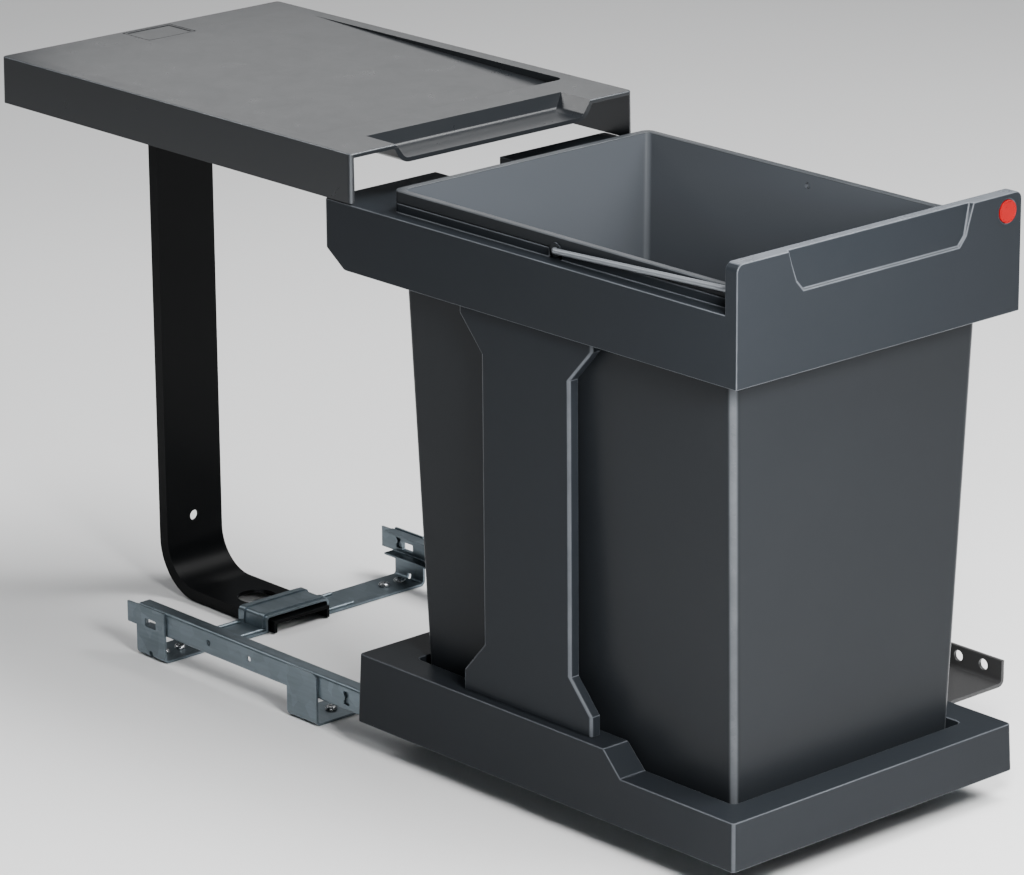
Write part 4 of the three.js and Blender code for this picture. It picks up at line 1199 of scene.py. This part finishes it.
def makeBail():  # one wire: a pin, an arm, the grip, the other arm and its pin
    s = named(bailSizes)
    low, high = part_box("bail_handle")
    r = s.radius
    pivot = frame["record"]["behaviour"]["joints"][4]["pos_m"]
    x = high.x - r
    rise = high.z - r - pivot[2]
    bend, turn = s.turn, s.pinTurn
    start = x - s.pin
    deselectAll()
    bpy.ops.mesh.primitive_circle_add(vertices=s.sides, radius=r, fill_type="NGON",
            rotation=(0, math.pi / 2, 0), location=(start, pivot[1], pivot[2]))
    wire = settle(bpy.context.object, "bailHandle")
    reach = math.hypot(pivot[1] - (low.y + r), rise)
    pickAll()
    pinY, gripY = pivot[1] - turn, pivot[1] - reach + bend
    arm = reach - turn - bend
    runs = (((x - turn - start, 0, 0), 6, (x - turn, pinY)), ((0, -arm, 0), 8, (x - bend, gripY)),
            ((-2 * (x - bend), 0, 0), 8, (-x + bend, gripY)), ((0, arm, 0), 6, (-x + turn, pinY)))
    for way, steps, centre in runs:
        pushPicked(way)
        spinPicked(steps, (*centre, pivot[2]), (0, 0, 1))
    pushPicked(runs[0][0])
    bpy.ops.mesh.select_all(action="SELECT")
    bpy.ops.mesh.remove_doubles(threshold=1e-6)
    bpy.ops.mesh.normals_make_consistent(inside=False)
    leaveEdit()
    tilt = Matrix.Rotation(-math.asin(rise / reach), 4, "X")
    lift = Matrix.Translation(Vector(pivot))
    wire.data.transform(lift @ tilt @ lift.inverted())
    soften(wire, s.edges, 2, 60)
    return finishPiece(wire, "bail", ["bail_handle"], wireCoat)


makeBail()
print("bail made")


# screws: one is modelled on the origin, standing on +Z, and copied to every place

screwSizes = {"head": 0.0044, "height": 0.0023, "dome": 0.78, "shank": 0.0022, "root": 0.0001, "slot": 0.0009,
    "slotReach": 0.0026, "slotFoot": 0.45, "edges": 0.00012}


def makeScrewPattern():
    s = named(screwSizes)
    head = addRod("screwPattern", (0, 0, s.height / 2), s.head, s.height, "Z", 40)
    pickEdges(head, lambda at, way: at.z > s.height - hair)
    bevelPicked(s.height * s.dome, 5)
    for x, y in ((s.slotReach, s.slot / 2), (s.slot / 2, s.slotReach)):
        cut(head, addBlock("recess", *around(0, x, y, s.height * s.slotFoot, past)))
    soften(head, s.edges)
    return head


def placeScrews():
    s = named(screwSizes)
    pattern = makeScrewPattern()
    sideScrews = [f"{side}_{kind}_screw_{i}" for side in ("left", "right")
            for kind in ("rail", "foot") for i in (1, 2)]
    groups = {"base": [f"floor_screw_{i}" for i in range(1, 7)], "carriage": sideScrews}
    for body, name in ((body, name) for body, names in groups.items() for name in names):
        low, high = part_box(name)
        centre = (low + high) / 2
        screw = copyOf(pattern)
        if "rail" in name:
            side = -1 if "left" in name else 1
            way, axis = Vector((side, 0, 0)), "X"
            seat = Vector((side * (max(abs(low.x), abs(high.x)) - s.height), centre.y, centre.z))
            length = abs(high.x - low.x) - s.height
        else:  # the upright's foot screws come from below, the floor screws from above
            up = -1 if "foot" in name else 1
            way, axis = Vector((0, 0, up)), "Z"
            seat = Vector((centre.x, centre.y, (high.z if up > 0 else low.z) - up * s.height))
            length = high.z - low.z - s.height
        turn = Vector((0, 0, 1)).rotation_difference(way)
        screw.data.transform(Matrix.Translation(seat) @ turn.to_matrix().to_4x4())
        middle = seat - way * (length / 2 - s.root)
        weld(screw, addRod("shank", middle, s.shank, length, axis, 20))
        shadeFlatAreas(screw)
        screw.name = "".join(word.title() if i else word for i, word in enumerate(name.split("_")))
        finishPiece(screw, body, [name], screwZinc)
    bpy.data.objects.remove(pattern, do_unlink=True)


placeScrews()
frame["nodes"]["door_pin"].data.materials.clear()
frame["nodes"]["door_pin"].data.materials.append(screwZinc)
print("screws placed")


# floor, light and camera

floorLook = {"size": 14, "drop": 0.0004, "from": (0.86, 0.86, 0.86, 1), "to": (0.90, 0.90, 0.90, 1),
    "roughness": 0.7}


def addFloor():
    look = floorLook
    deselectAll()
    bpy.ops.mesh.primitive_plane_add(size=look["size"], location=(0, 0, -look["drop"]))
    floor = bpy.context.object
    floor.name = "studioFloor"
    material, tree, place = startMaterial("paleFloor")
    mottle = mixColours(tree, addNoise(tree, place, 3.0, 4.0), look["from"], look["to"])
    fillShader(tree, {"Colour": mottle, "Roughness": look["roughness"]}, None, {})
    floor.data.materials.append(material)


lightLooks = {
    "keySoftbox": {"at": (0.20, -1.8, 1.45), "aim": (0.1, -0.7, 0.05), "size": (1.0, 1.0), "power": 8},
    "nearSoftbox": {"at": (-0.30, -0.85, 0.60), "aim": (-0.10, -0.40, 0.30), "size": (0.25, 0.25),
    "power": 11.5},
    "topSoftbox": {"at": (0.70, -0.7, 2.5), "aim": (0.1, -0.2, 0.0), "size": (1.6, 1.6), "power": 120},
    "lidSoftbox": {"at": (0.66, 0.83, 0.78), "aim": (-0.03, 0.06, 0.40), "size": (0.64, 0.34), "power": 1.0},
    "rightStrip": {"at": (1.35, -0.95, 1.90), "aim": (0.0, -0.3, 0.4), "size": (0.5, 0.5), "power": 12},
    "leftStrip": {"at": (-0.80, 1.45, 1.60), "aim": (-0.1, 0.0, 0.3), "size": (0.5, 0.5), "power": 8},
    "edgeLight": {"at": (-1.75, -2.15, 0.30), "aim": (0.0, -0.2, 0.25), "size": (0.4, 0.4), "power": 5},
}


worldLook = {"colour": (0.90, 0.95, 1, 1), "strength": 0.11}


def addLights():
    for name, look in lightLooks.items():
        bpy.ops.object.light_add(type="AREA", location=look["at"])
        light = bpy.context.object
        light.name = name
        light.data.shape = "RECTANGLE"
        light.data.size, light.data.size_y = look["size"]
        light.data.energy = look["power"]
        aim = Vector(look["aim"]) - Vector(look["at"])
        light.rotation_mode = "QUATERNION"
        light.rotation_quaternion = aim.to_track_quat("-Z", "Y")
        light.visible_camera = False
    world = bpy.data.worlds.new("paleStudio")
    bpy.context.scene.world = world
    world.use_nodes = True
    backdrop = world.node_tree.nodes["Background"]
    backdrop.inputs["Color"].default_value = worldLook["colour"]
    backdrop.inputs["Strength"].default_value = worldLook["strength"]


cameraLook = {"at": (-2.1583, -2.4844, 1.2400), "azimuth": -41.946, "elevation": 17.875, "roll": -0.430,
    "lens": 173.93, "sensor": 36, "clip": (0.1, 60)}


def addCamera():
    s = named(cameraLook)
    a, e = math.radians(s.azimuth), math.radians(s.elevation)
    back = Vector((math.sin(a) * math.cos(e), -math.cos(a) * math.cos(e), math.sin(e)))
    bpy.ops.object.camera_add(location=s.at)
    camera = bpy.context.object
    camera.name = "viewCamera"
    camera.rotation_mode = "QUATERNION"
    roll = Quaternion((0, 0, 1), math.radians(s.roll))
    camera.rotation_quaternion = (-back).to_track_quat("-Z", "Y") @ roll
    camera.data.lens = s.lens
    camera.data.sensor_width = s.sensor
    camera.data.clip_start, camera.data.clip_end = s.clip
    bpy.context.scene.camera = camera


addFloor()
addLights()
addCamera()
print("studio ready")

print("done")
